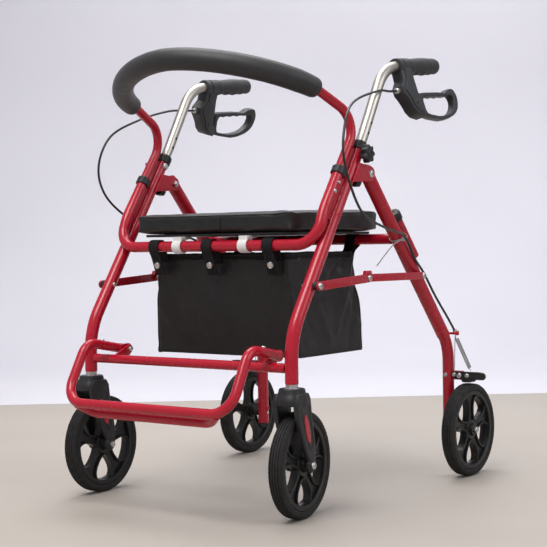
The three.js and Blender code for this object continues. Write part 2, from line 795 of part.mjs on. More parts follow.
function spareCap() {
  const upwards = rearDirection.clone().negate();
  const profile = [
    [-9, SEAT_RAIL_R + 0.5],
    [-9, SEAT_RAIL_R + 2.2],
    [7, SEAT_RAIL_R + 2.2],
    [10, SEAT_RAIL_R - 1],
    [10, 0],
    [GAP, 0],
    [GAP, SEAT_RAIL_R + 0.5],
    [-9, SEAT_RAIL_R + 0.5],
  ];
  const mouth = spareMouth();
  const turn = new THREE.Quaternion().setFromUnitVectors(at(1, 0, 0), upwards);
  const cap = turnedX(profile, 20).applyQuaternion(turn).translate(mouth.x, mouth.y, mouth.z);
  // its side is hollowed where the cap meets the leg
  const legAbove = at(HALF_TRACK, rearLegY(640), 640);
  const legBelow = at(HALF_TRACK, rearLegY(460), 460);
  return cut(cap, drill(legAbove, legBelow, REAR_LEG_R + GAP));
}

function rearSeatRail() {
  const reach = HALF_TRACK - REAR_LEG_R * Math.cos(Math.PI / TUBE_SIDES) - GAP;
  return rod(at(-reach, REAR_RAIL_Y, REAR_RAIL_Z), at(reach, REAR_RAIL_Y, REAR_RAIL_Z), REAR_RAIL_R);
}

function brakeArm() {
  const low = BRAKE_ARM_Z - 9;
  const high = BRAKE_ARM_Z + 9;
  const inner = HALF_TRACK + REAR_LOWER_R + 1.3;
  const bar = box(at(inner, BRAKE_ARM_Y - 3, low), at(350, BRAKE_ARM_Y + 3, high));
  const shoeLow = 2 * WHEEL_R + SHOE_CLEARANCE;
  const shoe = box(
    at(REAR_WHEEL_X - 8, BRAKE_ARM_Y - 8, shoeLow),
    at(REAR_WHEEL_X + 12, BRAKE_ARM_Y + 22, low + 3),
  );
  const hole = drill(
    at(BRAKE_PIVOT_X, BRAKE_ARM_Y - 20, BRAKE_ARM_Z),
    at(BRAKE_PIVOT_X, BRAKE_ARM_Y + 20, BRAKE_ARM_Z),
    3.2 + GAP,
    10,
  );
  const plateRoom = box(
    at(HALF_TRACK, BRAKE_ARM_Y + 3.2, BRAKE_ARM_Z - 13),
    at(BRAKE_PIVOT_X + 9, BRAKE_ARM_Y + 30, BRAKE_ARM_Z + 13),
  );
  return cut(join(bar, shoe), hole, plateRoom);
}

function brakeSpring() {
  const tilt = 2; // the slanted ends stand this far clear
  const low = at(314, BRAKE_ARM_Y, BRAKE_ARM_Z + 9 + tilt);
  const high = at(CABLE_X + 1, BRAKE_ARM_Y + 3, STOP_TOP_Z - 5 - tilt);
  return rod(low, high, 3.8, 10);
}

// ---------------------------------------------------------------- wheels and casters
function tyre() {
  const half = WHEEL_WIDTH / 2;
  const inner = RIM_R + 0.7;
  // the facets' middles, not their edges, touch the floor
  const crown = WHEEL_R / Math.cos(Math.PI / TYRE_SEGMENTS);
  const profile = [
    [-RIM_WIDTH / 2, inner],
    [-half, inner + 3],
    [-half, crown - 6],
    [-half + 5, crown],
    [half - 5, crown],
    [half, crown - 6],
    [half, inner + 3],
    [RIM_WIDTH / 2, inner],
    [-RIM_WIDTH / 2, inner],
  ];
  return turnedX(profile, TYRE_SEGMENTS, true);
}

function rim() {
  const disc = circle(0, 0, RIM_R, TYRE_SEGMENTS);
  const windows = [];
  for (let i = 0; i < SPOKES; i++) {
    const middle = (360 / SPOKES) * (i + 0.5) - 90;
    const outer = arc(0, 0, RIM_INNER_R, middle - 29, middle + 29, 6);
    const inner = arc(0, 0, HUB_R + 12, middle + 12, middle - 12, 2);
    windows.push([...outer, ...inner].reverse());
  }
  const bore = roundHole(0, 0, AXLE_R + GAP);
  const flat = plateX(disc, -RIM_WIDTH / 2 + 3, RIM_WIDTH / 2 - 3, [...windows, bore]);
  const hub = rod(at(-HUB_WIDTH / 2, 0, 0), at(HUB_WIDTH / 2, 0, 0), HUB_R, 20);
  const hole = drill(at(-30, 0, 0), at(30, 0, 0), AXLE_R + GAP, 12);
  return cut(join(flat, hub), hole);
}

const FORK_SLOT = WHEEL_WIDTH / 2 + 2;

function casterFork() {
  const outline = [
    [-FORK_TOP_R, FORK_TOP_Z - 12],
    [-27, 214],
    [-22, 180],
    [CASTER_TRAIL - 22, 140],
    ...arc(CASTER_TRAIL, WHEEL_R, 13, 170, 370, 8),
    [CASTER_TRAIL + 14, 145],
    [27, 205],
    [FORK_TOP_R, FORK_TOP_Z - 12],
  ];
  const body = plateX(outline, -FORK_HALF_WIDTH, FORK_HALF_WIDTH);
  const crown = rod(at(0, 0, FORK_TOP_Z - 22), at(0, 0, FORK_TOP_Z), FORK_TOP_R, 20);
  const slot = plateX(
    [...circle(CASTER_TRAIL, WHEEL_R, WHEEL_R + 5.5, 36)],
    -FORK_SLOT,
    FORK_SLOT,
  );
  const hole = drill(
    at(-40, CASTER_TRAIL, WHEEL_R),
    at(40, CASTER_TRAIL, WHEEL_R),
    AXLE_R + GAP,
    12,
  );
  const stem = rod(at(0, 0, FORK_TOP_Z - 5), at(0, 0, LEG_BOTTOM_Z + STEM_INSERT), STEM_R, 16);
  const flange = rod(at(0, 0, FORK_TOP_Z - 5), at(0, 0, LEG_BOTTOM_Z - GAP), STEM_FLANGE_R, 16);
  return cut(join(body, crown, stem, flange), slot, hole);
}

function frontAxle() {
  const end = FORK_HALF_WIDTH + GAP;
  const profile = [
    [-end - 4, 0],
    [-end - 4, 6.5],
    [-end, 6.5],
    [-end, AXLE_R],
    [end, AXLE_R],
    [end, 6.5],
    [end + 4, 6.5],
    [end + 4, 0],
  ];
  return turnedX(profile, 12).translate(0, CASTER_TRAIL, WHEEL_R);
}

function rearAxle() {
  const leg = HALF_TRACK + REAR_LOWER_R + GAP;
  const hubFace = REAR_WHEEL_X - HUB_WIDTH / 2 - GAP;
  const nut = REAR_WHEEL_X + HUB_WIDTH / 2 + GAP;
  const head = HALF_TRACK - REAR_LOWER_R - GAP;
  const profile = [
    [head - 5, 0],
    [head - 5, 6.5],
    [head, 6.5],
    [head, AXLE_R],
    [leg, AXLE_R],
    [leg, 8],
    [hubFace, 8],
    [hubFace, AXLE_R],
    [nut, AXLE_R],
    [nut, 7],
    [nut + 7, 7],
    [nut + 7, 0],
  ];
  return turnedX(profile, 12).translate(0, REAR_AXLE_Y, WHEEL_R);
}

// ---------------------------------------------------------------- stays, seat, basket, footrest
// A flat link with a hole at its own pivot and the head of the middle bolt at its other end.
function link(from, to, x0, halfHeight, headX) {
  const angle = THREE.MathUtils.radToDeg(Math.atan2(to.y - from.y, to.x - from.x));
  const outline = [
    ...arc(to.x, to.y, halfHeight, angle - 90, angle + 90, 8),
    ...arc(from.x, from.y, halfHeight, angle + 90, angle + 270, 8),
  ];
  const hole = roundHole(from.x, from.y, PIVOT_PIN_R + GAP);
  const bar = plateX(outline, x0, x0 + STAY_THICKNESS, [hole]);
  const head = rod(at(headX, to.x, to.y), at(headX + 4, to.x, to.y), PIVOT_HEAD_R, 12);
  return join(bar, head);
}

function seatOutline(inset) {
  const shape = new THREE.Shape();
  const x = SEAT_HALF_WIDTH - inset;
  const y0 = SEAT_FRONT_Y + inset;
  const y1 = SEAT_FRONT_Y + SEAT_DEPTH - inset;
  const r = SEAT_CORNER - inset;
  shape.absarc(x - r, y1 - r, r, 0, Math.PI / 2);
  shape.absarc(-x + r, y1 - r, r, Math.PI / 2, Math.PI);
  shape.absarc(-x + r, y0 + r, r, Math.PI, 1.5 * Math.PI);
  shape.absarc(x - r, y0 + r, r, 1.5 * Math.PI, 2 * Math.PI);
  return shape;
}

function seatSlab(z0, z1, inset) {
  const options = { depth: z1 - z0, bevelEnabled: false, curveSegments: 6 };
  return new THREE.ExtrudeGeometry(seatOutline(inset), options).translate(0, 0, z0);
}

// The board has two notches that clear the basket's rear straps.
function seatBoard() {
  const slab = seatSlab(SEAT_BOTTOM_Z, SEAT_BOTTOM_Z + SEAT_BOARD, 4);
  const room = STRAP_WIDTH / 2 + 2;
  const front = REAR_RAIL_Y - REAR_RAIL_R - STRAP_THICKNESS - 3;
  const rear = SEAT_FRONT_Y + SEAT_DEPTH + 10;
  const notches = [-STRAP_X, STRAP_X].map((x) =>
    box(at(x - room, front, SEAT_BOTTOM_Z - 5), at(x + room, rear, SEAT_TOP_Z)),
  );
  return cut(slab, ...notches);
}

function seatClip() {
  const half = 11;
  const ring = circle(SEAT_RAIL_Y, SEAT_RAIL_Z, SEAT_RAIL_R + 3.4, 20);
  const hole = roundHole(SEAT_RAIL_Y, SEAT_RAIL_Z, SEAT_RAIL_R + GAP, 20);
  const loop = plateX(ring, -half, half, [hole]);
  const neck = box(
    at(-half, SEAT_RAIL_Y - 3, SEAT_RAIL_Z + SEAT_RAIL_R + 1.5),
    at(half, SEAT_RAIL_Y + 26, SEAT_BOTTOM_Z - GAP),
  );
  return join(loop, neck);
}

function basket() {
  const low = at(-BASKET_HALF_WIDTH, BASKET_FRONT_Y, BASKET_BOTTOM_Z);
  const high = at(BASKET_HALF_WIDTH, BASKET_REAR_Y, BASKET_TOP_Z);
  const wall = at(BASKET_WALL, BASKET_WALL, BASKET_WALL);
  const inside = box(low.clone().add(wall), high.clone().sub(wall).setZ(BASKET_TOP_Z + 10));
  const tub = cut(box(low, high), inside);
  const front = [-STRAP_X, 0, STRAP_X].map((x) =>
    strap(x, SEAT_RAIL_Y, SEAT_RAIL_Z, SEAT_RAIL_R, BASKET_FRONT_Y + BASKET_WALL / 2),
  );
  const rear = [-STRAP_X, STRAP_X].map((x) =>
    strap(x, REAR_RAIL_Y, REAR_RAIL_Z, REAR_RAIL_R, BASKET_REAR_Y - BASKET_WALL / 2),
  );
  return join(tub, ...front, ...rear);
}

// A strap looped round a rail, with a tail down to the basket's rim at y = rimY.
function strap(x, railY, railZ, railRadius, rimY) {
  const half = STRAP_WIDTH / 2;
  const inner = railRadius + GAP;
  const ring = circle(railY, railZ, inner + STRAP_THICKNESS, 16);
  const hole = roundHole(railY, railZ, inner, 16);
  const loop = plateX(ring, x - half, x + half, [hole]);
  const away = Math.sign(rimY - railY);
  const top = railZ - railRadius + 0.5;
  const tailY = railY + away * 4;
  const tail = [
    [tailY, top - STRAP_THICKNESS],
    [rimY + away * 1.2, BASKET_TOP_Z - 4],
    [rimY + away * 1.2, BASKET_TOP_Z - 1],
    [tailY + away * STRAP_THICKNESS, top],
  ];
  const outline = away > 0 ? tail : tail.reverse();
  return join(loop, plateX(outline, x - half, x + half));
}

function footrestFrame() {
  const half = [
    at(FOOTREST_X - 2, FOOTREST_PIVOT.x - 9, FOOTREST_PIVOT.y + 3),
    at(FOOTREST_X, -128, 319),
    at(FOOTREST_X + 2, FOOTREST_FRONT.x, FOOTREST_FRONT.y),
  ];
  const path = bentPath([...half, ...half.map(mirrored).reverse()], [30, 46, 46, 30], 18);
  const hoop = tube(path, FOOTREST_R, 12);
  const brace = bentPath(
    [
      at(172, FOOTREST_FRONT.x + 1, FOOTREST_FRONT.y + 1),
      at(140, FOOTREST_FRONT.x + 21, FOOTREST_FRONT.y - 15),
      at(-140, FOOTREST_FRONT.x + 21, FOOTREST_FRONT.y - 15),
      at(-172, FOOTREST_FRONT.x + 1, FOOTREST_FRONT.y + 1),
    ],
    [30, 30],
    18,
  );
  const ears = [1, -1].map((side) => {
    const middle = side * (LUG_X + LUG_HALF + GAP + EAR_THICKNESS / 2);
    const outline = [
      ...arc(FOOTREST_PIVOT.x, FOOTREST_PIVOT.y, 8.5, -90, 90, 7),
      [FOOTREST_PIVOT.x - 18, FOOTREST_PIVOT.y + 10],
      [FOOTREST_PIVOT.x - 18, FOOTREST_PIVOT.y - 2],
    ];
    const hole = roundHole(FOOTREST_PIVOT.x, FOOTREST_PIVOT.y, PIVOT_PIN_R + GAP);
    return plateX(outline, middle - EAR_THICKNESS / 2, middle + EAR_THICKNESS / 2, [hole]);
  });
  return join(hoop, tube(brace, FOOTREST_R - 0.5, 12), ...ears);
}

// ---------------------------------------------------------------- cables
function cablePieces() {
  const route = new THREE.CatmullRomCurve3(CABLE_POINTS, false, "centripetal");
  const last = CABLE_POINTS.length - 1;
  const sample = (from, to) => {
    const points = [];
    for (let i = from; i < to; i++) {
      const steps = Math.ceil(CABLE_POINTS[i].distanceTo(CABLE_POINTS[i + 1]) / CABLE_STEP);
      for (let k = 0; k < steps; k++) points.push(route.getPoint((i + k / steps) / last));
    }
    points.push(route.getPoint(to / last));
    return points;
  };
  const upper = sample(0, CABLE_TIE);
  const lower = sample(CABLE_TIE, last);
  const ahead = lower[1].clone().sub(lower[0]).normalize();
  upper.at(-1).addScaledVector(ahead, -3 * GAP);
  return [upper, lower].map((points) => tube(new BentPath(points), CABLE_R, 8));
}

// ---------------------------------------------------------------- assembly
function addSide(name, side) {
  const group = new THREE.Group();
  group.scale.x = side;
  walker.add(group);
  const put = (part, geometry, material) => add(group, `${part}_${name}`, geometry, material);

  put("front_leg", frontLeg(), RED());
  put(
    "handle_collar",
    collar(at(HALF_TRACK, legY(LEG_TOP_Z), LEG_TOP_Z), legDirection, LEG_R, HANDLE_R, 18),
    PLASTIC(),
  );
  put("height_knob", heightKnob(), PLASTIC());
  put("handle_tube", tube(handlePath, HANDLE_R), SATIN());
  put("grip", grip(), RUBBER());
  put("brake_housing", brakeHousing(), PLASTIC());
  put("brake_lever", brakeLever(), PLASTIC());
  put(
    "backrest_collar",
    collar(railHalf[0], socketDirection, SEAT_RAIL_R, BACKREST_R, 17),
    PLASTIC(),
  );
  put("backrest_button", backrestButton(), STEEL());
  put("rear_leg", rearLeg(), RED());
  put("spare_socket_cap", spareCap(), PLASTIC());
  const outerHead = STAY_X + STAY_THICKNESS - 1;
  const innerFace = STAY_X - STAY_THICKNESS - GAP;
  put(
    "stay_front_link",
    link(stayFrontPivot, STAY_MID, STAY_X, STAY_HALF_HEIGHT, outerHead),
    RED(),
  );
  put(
    "stay_rear_link",
    link(stayRearPivot, STAY_MID, innerFace, STAY_HALF_HEIGHT - 1, innerFace - 3),
    RED(),
  );
  put("rear_tyre", tyre().translate(REAR_WHEEL_X, REAR_AXLE_Y, WHEEL_R), RUBBER());
  put("rear_rim", rim().translate(REAR_WHEEL_X, REAR_AXLE_Y, WHEEL_R), PLASTIC());
  put("rear_axle", rearAxle(), STEEL());
  put("brake_arm", brakeArm(), PLASTIC());
  put("brake_spring", brakeSpring(), STEEL());

  const [upperCable, lowerCable] = cablePieces();
  put("cable_upper", upperCable, PLASTIC());
  put("cable_lower", lowerCable, PLASTIC());

  const clip = put("seat_clip", seatClip(), WHITE());
  clip.position.x = CLIP_X;

  const caster = new THREE.Group();
  caster.position.set(HALF_TRACK, STEM_Y, 0);
  caster.rotation.z = side * rad(side > 0 ? CASTER_REST_RIGHT : CASTER_REST_LEFT);
  group.add(caster);
  add(caster, `caster_fork_${name}`, casterFork(), PLASTIC());
  add(caster, `front_axle_${name}`, frontAxle(), STEEL());
  add(caster, `front_tyre_${name}`, tyre().translate(0, CASTER_TRAIL, WHEEL_R), RUBBER());
  add(caster, `front_rim_${name}`, rim().translate(0, CASTER_TRAIL, WHEEL_R), PLASTIC());
}

addSide("right", 1);
addSide("left", -1);
add(walker, "front_seat_rail", frontSeatRail(), RED());
add(walker, "lower_crossbar", lowerCrossbar(), RED());
add(walker, "backrest_bar", cut(tube(barPath, BACKREST_R), buttonHole(1), buttonHole(-1)), RED());
add(walker, "backrest_foam", backrestFoam(), FOAM());
add(walker, "rear_seat_rail", rearSeatRail(), RED());
add(walker, "seat_board", seatBoard(), PLASTIC());
add(walker, "seat_pad", seatSlab(SEAT_BOTTOM_Z + SEAT_BOARD + GAP, SEAT_TOP_Z, 0), FABRIC());
add(walker, "basket", basket(), FABRIC());
add(walker, "footrest_frame", footrestFrame(), RED());

const frontEnd = FOOTREST_FRONT.x - FOOTREST_R;
const rearEnd = REAR_AXLE_Y + WHEEL_R;
walker.position.y = -(frontEnd + rearEnd) / 2;

export default walker;
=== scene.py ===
import math

import bmesh
import bpy
import numpy as np
from mathutils import Matrix, Vector, noise
from mathutils.bvhtree import BVHTree


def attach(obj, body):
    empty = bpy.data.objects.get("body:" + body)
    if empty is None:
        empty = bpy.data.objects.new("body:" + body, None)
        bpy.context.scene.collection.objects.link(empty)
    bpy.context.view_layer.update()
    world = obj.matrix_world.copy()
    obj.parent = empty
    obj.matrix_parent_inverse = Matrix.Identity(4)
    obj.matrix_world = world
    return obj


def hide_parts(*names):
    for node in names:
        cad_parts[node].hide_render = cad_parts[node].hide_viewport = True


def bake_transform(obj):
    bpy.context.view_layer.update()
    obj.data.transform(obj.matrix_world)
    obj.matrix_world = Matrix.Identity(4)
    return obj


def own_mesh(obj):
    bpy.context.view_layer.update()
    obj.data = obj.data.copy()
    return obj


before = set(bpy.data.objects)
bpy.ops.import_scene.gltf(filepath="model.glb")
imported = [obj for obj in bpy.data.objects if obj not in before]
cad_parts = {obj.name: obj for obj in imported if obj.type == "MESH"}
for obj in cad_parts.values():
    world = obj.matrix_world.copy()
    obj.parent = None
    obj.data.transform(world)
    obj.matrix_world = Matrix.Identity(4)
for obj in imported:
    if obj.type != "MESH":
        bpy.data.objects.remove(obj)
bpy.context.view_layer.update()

# Everything below is written in the design frame of the CAD, in millimetres, in which y = 0
# lies 66 mm behind the caster stems. SHIFT moves it into the row's frame.
SHIFT = -211.75
SIDES = (("right", 1), ("left", -1))

# ---------------------------------------------------------------- camera
CAMERA_PLACE = (1.65237, -1.99297 + SHIFT / 1000, 0.51222)
CAMERA_RIGHT = Vector((0.80231, 0.59670, -0.01596))
CAMERA_UP = Vector((-0.00120, 0.02836, 0.99960))
CAMERA_AHEAD = Vector((-0.59691, 0.80196, -0.02347))
LENS_MM = 85.51


def make_camera():
    data = bpy.data.cameras.new("camera")
    data.sensor_width = 36
    data.lens = LENS_MM
    data.clip_end = 50
    camera = bpy.data.objects.new("camera", data)
    axes = Matrix((CAMERA_RIGHT, CAMERA_UP, -CAMERA_AHEAD)).transposed().to_4x4()
    camera.matrix_world = Matrix.Translation(CAMERA_PLACE) @ axes
    bpy.context.scene.collection.objects.link(camera)
    bpy.context.scene.camera = camera


make_camera()


# ---------------------------------------------------------------- materials
class Nodes:
    """Builds one procedural material."""

    def __init__(self, name, color, roughness, metallic=0.0):
        self.material = bpy.data.materials.new(name)
        self.material.use_nodes = True
        self.tree = self.material.node_tree
        self.shader = self.tree.nodes["Principled BSDF"]
        self.shader.inputs["Base Color"].default_value = (*color, 1)
        self.shader.inputs["Roughness"].default_value = roughness
        self.shader.inputs["Metallic"].default_value = metallic
        self.coords = self.tree.nodes.new("ShaderNodeTexCoord").outputs["Object"]
        self.height = None

    def link(self, a, b):
        self.tree.links.new(a, b)

    def set(self, **values):
        for key, value in values.items():
            self.shader.inputs[key.replace("_", " ")].default_value = value
        return self

    def mapped(self, scale):
        node = self.tree.nodes.new("ShaderNodeMapping")
        node.inputs["Scale"].default_value = scale
        self.link(self.coords, node.inputs["Vector"])
        return node.outputs["Vector"]

    def noise(self, scale, detail=3.0, stretch=(1, 1, 1)):
        node = self.tree.nodes.new("ShaderNodeTexNoise")
        node.inputs["Scale"].default_value = scale
        node.inputs["Detail"].default_value = detail
        self.link(self.mapped(stretch), node.inputs["Vector"])
        return node.outputs["Fac"]

    def voronoi(self, scale):
        node = self.tree.nodes.new("ShaderNodeTexVoronoi")
        node.inputs["Scale"].default_value = scale
        self.link(self.coords, node.inputs["Vector"])
        return node.outputs["Distance"]

    def wave(self, direction, pitch):
        node = self.tree.nodes.new("ShaderNodeTexWave")
        node.bands_direction = direction
        # one band of Blender's wave at scale 1 is 2 pi / 20 long
        node.inputs["Scale"].default_value = 2 * math.pi / 20 / pitch
        self.link(self.coords, node.inputs["Vector"])
        return node.outputs["Fac"]

    def math(self, operation, a, b):
        node = self.tree.nodes.new("ShaderNodeMath")
        node.operation = operation
        for socket, value in zip(node.inputs, (a, b)):
            if isinstance(value, (int, float)):
                socket.default_value = value
            else:
                self.link(value, socket)
        return node.outputs[0]

    def ramp(self, source, stops):
        node = self.tree.nodes.new("ShaderNodeValToRGB")
        points = node.color_ramp.elements
        for i, (place, color) in enumerate(stops):
            point = points[i] if i < 2 else points.new(place)
            point.position = place
            point.color = (*color, 1)
        self.link(source, node.inputs["Fac"])
        return node.outputs["Color"]

    def color(self, source, low, high, start=0.3, end=0.7):
        self.link(self.ramp(source, ((start, low), (end, high))), self.shader.inputs["Base Color"])
        return self

    def rough(self, source, low, high):
        node = self.tree.nodes.new("ShaderNodeMapRange")
        node.inputs["From Min"].default_value = 0.3
        node.inputs["From Max"].default_value = 0.7
        node.inputs["To Min"].default_value = low
        node.inputs["To Max"].default_value = high
        self.link(source, node.inputs["Value"])
        self.link(node.outputs["Result"], self.shader.inputs["Roughness"])
        return self

    def bump(self, source, strength, distance):
        node = self.tree.nodes.new("ShaderNodeBump")
        node.inputs["Strength"].default_value = strength
        node.inputs["Distance"].default_value = distance
        self.link(source, node.inputs["Height"])
        if self.height is not None:
            self.link(self.height, node.inputs["Normal"])
        self.height = node.outputs["Normal"]
        self.link(self.height, self.shader.inputs["Normal"])
        return self


def shade(color, factor):
    return tuple(c * factor for c in color)


def grey(tone, blue=None):
    return (tone, tone, tone if blue is None else blue)


def finish(name, color, roughness, metallic=0.0, tones=(), rough=(), bump=(), **settings):
    """A material whose colour, roughness and height follow noises: (noise arguments, low, high)."""
    made = Nodes(name, color, roughness, metallic).set(**settings)
    if tones:
        made.color(made.noise(*tones[0]), *tones[1:])
    if rough:
        made.rough(made.noise(*rough[0]), *rough[1:])
    if bump:
        made.bump(made.noise(*bump[0]), *bump[1:])
    return made


RED = (0.44, 0.006, 0.024)
SILVER = (0.50, 0.47, 0.425)


def fabric(name, pitch, tone, sheen):
    """Woven cloth: threads of one pitch each way, under soft creases."""
    cloth = finish(
        name, grey(tone, tone * 1.06), 0.5,
        tones=((26, 4), grey(tone * 0.75, tone * 0.8), grey(tone * 1.5, tone * 1.6)),
        rough=((60,), 0.38, 0.5),
        Sheen_Weight=sheen, Sheen_Roughness=0.4, Specular_IOR_Level=0.45,
    )
    threads = cloth.math("ADD", cloth.wave("X", pitch), cloth.wave("Y", pitch))
    threads = cloth.math("ADD", threads, cloth.wave("Z", pitch))
    cloth.bump(threads, 0.2, 0.0004)
    return cloth.bump(cloth.noise(30, 4), 0.5, 0.004)


def make_materials():
    foam = finish(
        "foam", grey(0.020, 0.023), 0.5, tones=((38, 5), grey(0.018, 0.020), grey(0.023, 0.026)),
        rough=((70,), 0.46, 0.56), Sheen_Weight=0.08, Sheen_Roughness=0.5, Specular_IOR_Level=0.45,
    )
    foam.bump(foam.voronoi(620), 0.2, 0.0007)
    webbing = finish(
        "webbing", grey(0.010, 0.011), 0.7, tones=((80,), grey(0.005, 0.006), grey(0.010, 0.011)),
        Sheen_Weight=0.03, Sheen_Roughness=0.4, Specular_IOR_Level=0.2,
    )
    ribs = webbing.math("ADD", webbing.wave("X", 0.0022), webbing.wave("Z", 0.0016))
    webbing.bump(ribs, 0.5, 0.0006)
    stitch = finish("stitching", grey(0.020, 0.022), 0.65, rough=((100,), 0.55, 0.75))
    stitch.bump(stitch.wave("DIAGONAL", 0.002), 0.6, 0.0006)
    made = {
        "red": finish(
            "red_paint", RED, 0.24, tones=((9,), shade(RED, 0.93), shade(RED, 1.04)),
            rough=((30,), 0.24, 0.29), bump=((260, 2), 0.02, 0.0003),
            Coat_Weight=0.25, Coat_Roughness=0.08, Specular_IOR_Level=0.35,
        ),
        "silver": finish(
            "satin_silver", SILVER, 0.34, 1.0,
            tones=((22, 2, (1, 0.3, 0.3)), shade(SILVER, 0.88), shade(SILVER, 1.05)),
            rough=((60, 3), 0.33, 0.42), bump=((700, 2), 0.02, 0.0002),
        ),
        "zinc": finish(
            "zinc_steel", grey(0.62), 0.3, 1.0, tones=((160,), grey(0.48, 0.47), grey(0.70)),
            rough=((240,), 0.22, 0.42), bump=((700,), 0.06, 0.0003),
        ),
        "spring": finish("spring_steel", grey(0.35), 0.35, 1.0, rough=((300,), 0.28, 0.45)),
        "plastic": finish(
            "black_plastic", grey(0.016, 0.018), 0.42,
            tones=((60,), grey(0.012, 0.014), grey(0.022, 0.025)),
            rough=((120,), 0.36, 0.5), bump=((1600, 3), 0.12, 0.0004), Specular_IOR_Level=0.4,
        ),
        "brake": finish(
            "brake_plastic", (0.024, 0.026, 0.031), 0.5,
            tones=((60,), (0.020, 0.022, 0.026), (0.030, 0.032, 0.038)),
            rough=((120,), 0.42, 0.56), bump=((1200, 3), 0.12, 0.0004),
        ),
        "rim": finish(
            "rim_plastic", grey(0.010, 0.011), 0.38,
            tones=((50,), grey(0.008, 0.009), grey(0.014, 0.015)),
            rough=((140,), 0.32, 0.46), bump=((1300, 3), 0.1, 0.0003), Specular_IOR_Level=0.35,
        ),
        "tyre": finish(
            "tyre_rubber", grey(0.022, 0.023), 0.75,
            tones=((70, 4), grey(0.010), (0.020, 0.019, 0.019)),
            rough=((90,), 0.62, 0.82), bump=((1100, 4), 0.25, 0.0005), Specular_IOR_Level=0.35,
        ),
        "grip": finish(
            "grip_rubber", grey(0.028, 0.030), 0.58,
            tones=((90,), grey(0.024, 0.026), grey(0.038, 0.041)),
            rough=((200,), 0.5, 0.68), bump=((1400, 3), 0.2, 0.0005),
        ),
        "foam": foam,
        "seat": fabric("seat_fabric", 0.0015, 0.008, 0.05),
        "basket": fabric("basket_fabric", 0.0018, 0.0045, 0.03),
        "webbing": webbing,
        "stitch": stitch,
        "white": finish(
            "white_plastic", grey(0.78, 0.77), 0.38,
            tones=((60,), grey(0.70, 0.69), grey(0.82)),
            rough=((120,), 0.32, 0.46), bump=((900,), 0.06, 0.0003),
        ),
        "clear": finish(
            "clear_nylon", grey(0.50, 0.49), 0.3, rough=((200,), 0.25, 0.4),
            Transmission_Weight=0.35, IOR=1.5,
        ),
        "jacket": finish(
            "cable_jacket", grey(0.012, 0.013), 0.34,
            rough=((150,), 0.28, 0.42), bump=((600,), 0.06, 0.0003),
        ),
    }
    return {key: nodes.material for key, nodes in made.items()}


MATERIALS = make_materials()


# ---------------------------------------------------------------- geometry helpers
def V(x, y, z):
    return Vector((x, y, z))


def rad(degrees):
    return math.radians(degrees)


def bent(corners, radii, step=4.0):
    """Straight runs between corners, each inner corner rounded to its own radius."""
    points = [Vector(corners[0])]
    for i in range(1, len(corners) - 1):
        corner = Vector(corners[i])
        back = (Vector(corners[i - 1]) - corner).normalized()
        ahead = (Vector(corners[i + 1]) - corner).normalized()
        turn = math.pi - back.angle(ahead)
        reach = radii[i - 1] * math.tan(turn / 2)
        centre = corner + (back + ahead).normalized() * (radii[i - 1] / math.cos(turn / 2))
        spoke = corner + back * reach - centre
        axis = back.cross(ahead).normalized()
        steps = max(3, math.ceil(math.degrees(turn) / step))
        for k in range(steps + 1):
            points.append(centre + Matrix.Rotation(-turn * k / steps, 3, axis) @ spoke)
    points.append(Vector(corners[-1]))
    return points


def catmull(points, steps, closed=False):
    """A smooth curve through 2-D or 3-D points."""
    points = [np.array(p, float) for p in points]
    n = len(points)
    out = []
    for i in range(n if closed else n - 1):
        if closed:
            a, b, c, d = (points[(i + k) % n] for k in (-1, 0, 1, 2))
        else:
            a, b, c, d = (points[min(max(i + k, 0), n - 1)] for k in (-1, 0, 1, 2))
        for k in range(steps):
            t = k / steps
            out.append(
                0.5
                * (
                    2 * b
                    + (c - a) * t
                    + (2 * a - 5 * b + 4 * c - d) * t * t
                    + (3 * b - a - 3 * c + d) * t**3
                )
            )
    if not closed:
        out.append(points[-1])
    return out


def arc(cx, cy, radius, start, end, steps):
    return [
        (
            cx + radius * math.cos(rad(start + (end - start) * i / steps)),
            cy + radius * math.sin(rad(start + (end - start) * i / steps)),
        )
        for i in range(steps + 1)
    ]


def circle(cx, cy, radius, sides=32):
    return arc(cx, cy, radius, 0, 360 - 360 / sides, sides - 1)


def rounded_corners(half, front, rear, radius):
    """Centres and start angles of the four corner arcs of a rounded rectangle."""
    x, y0, y1 = half - radius, front + radius, rear - radius
    return ((x, y1, 0), (-x, y1, 90), (-x, y0, 180), (x, y0, 270))


def smooth(points, steps):
    """A smooth curve through 3-D points, as vectors."""
    return [V(*p) for p in catmull([tuple(p) for p in points], steps)]


WELD = 1e-6  # metres


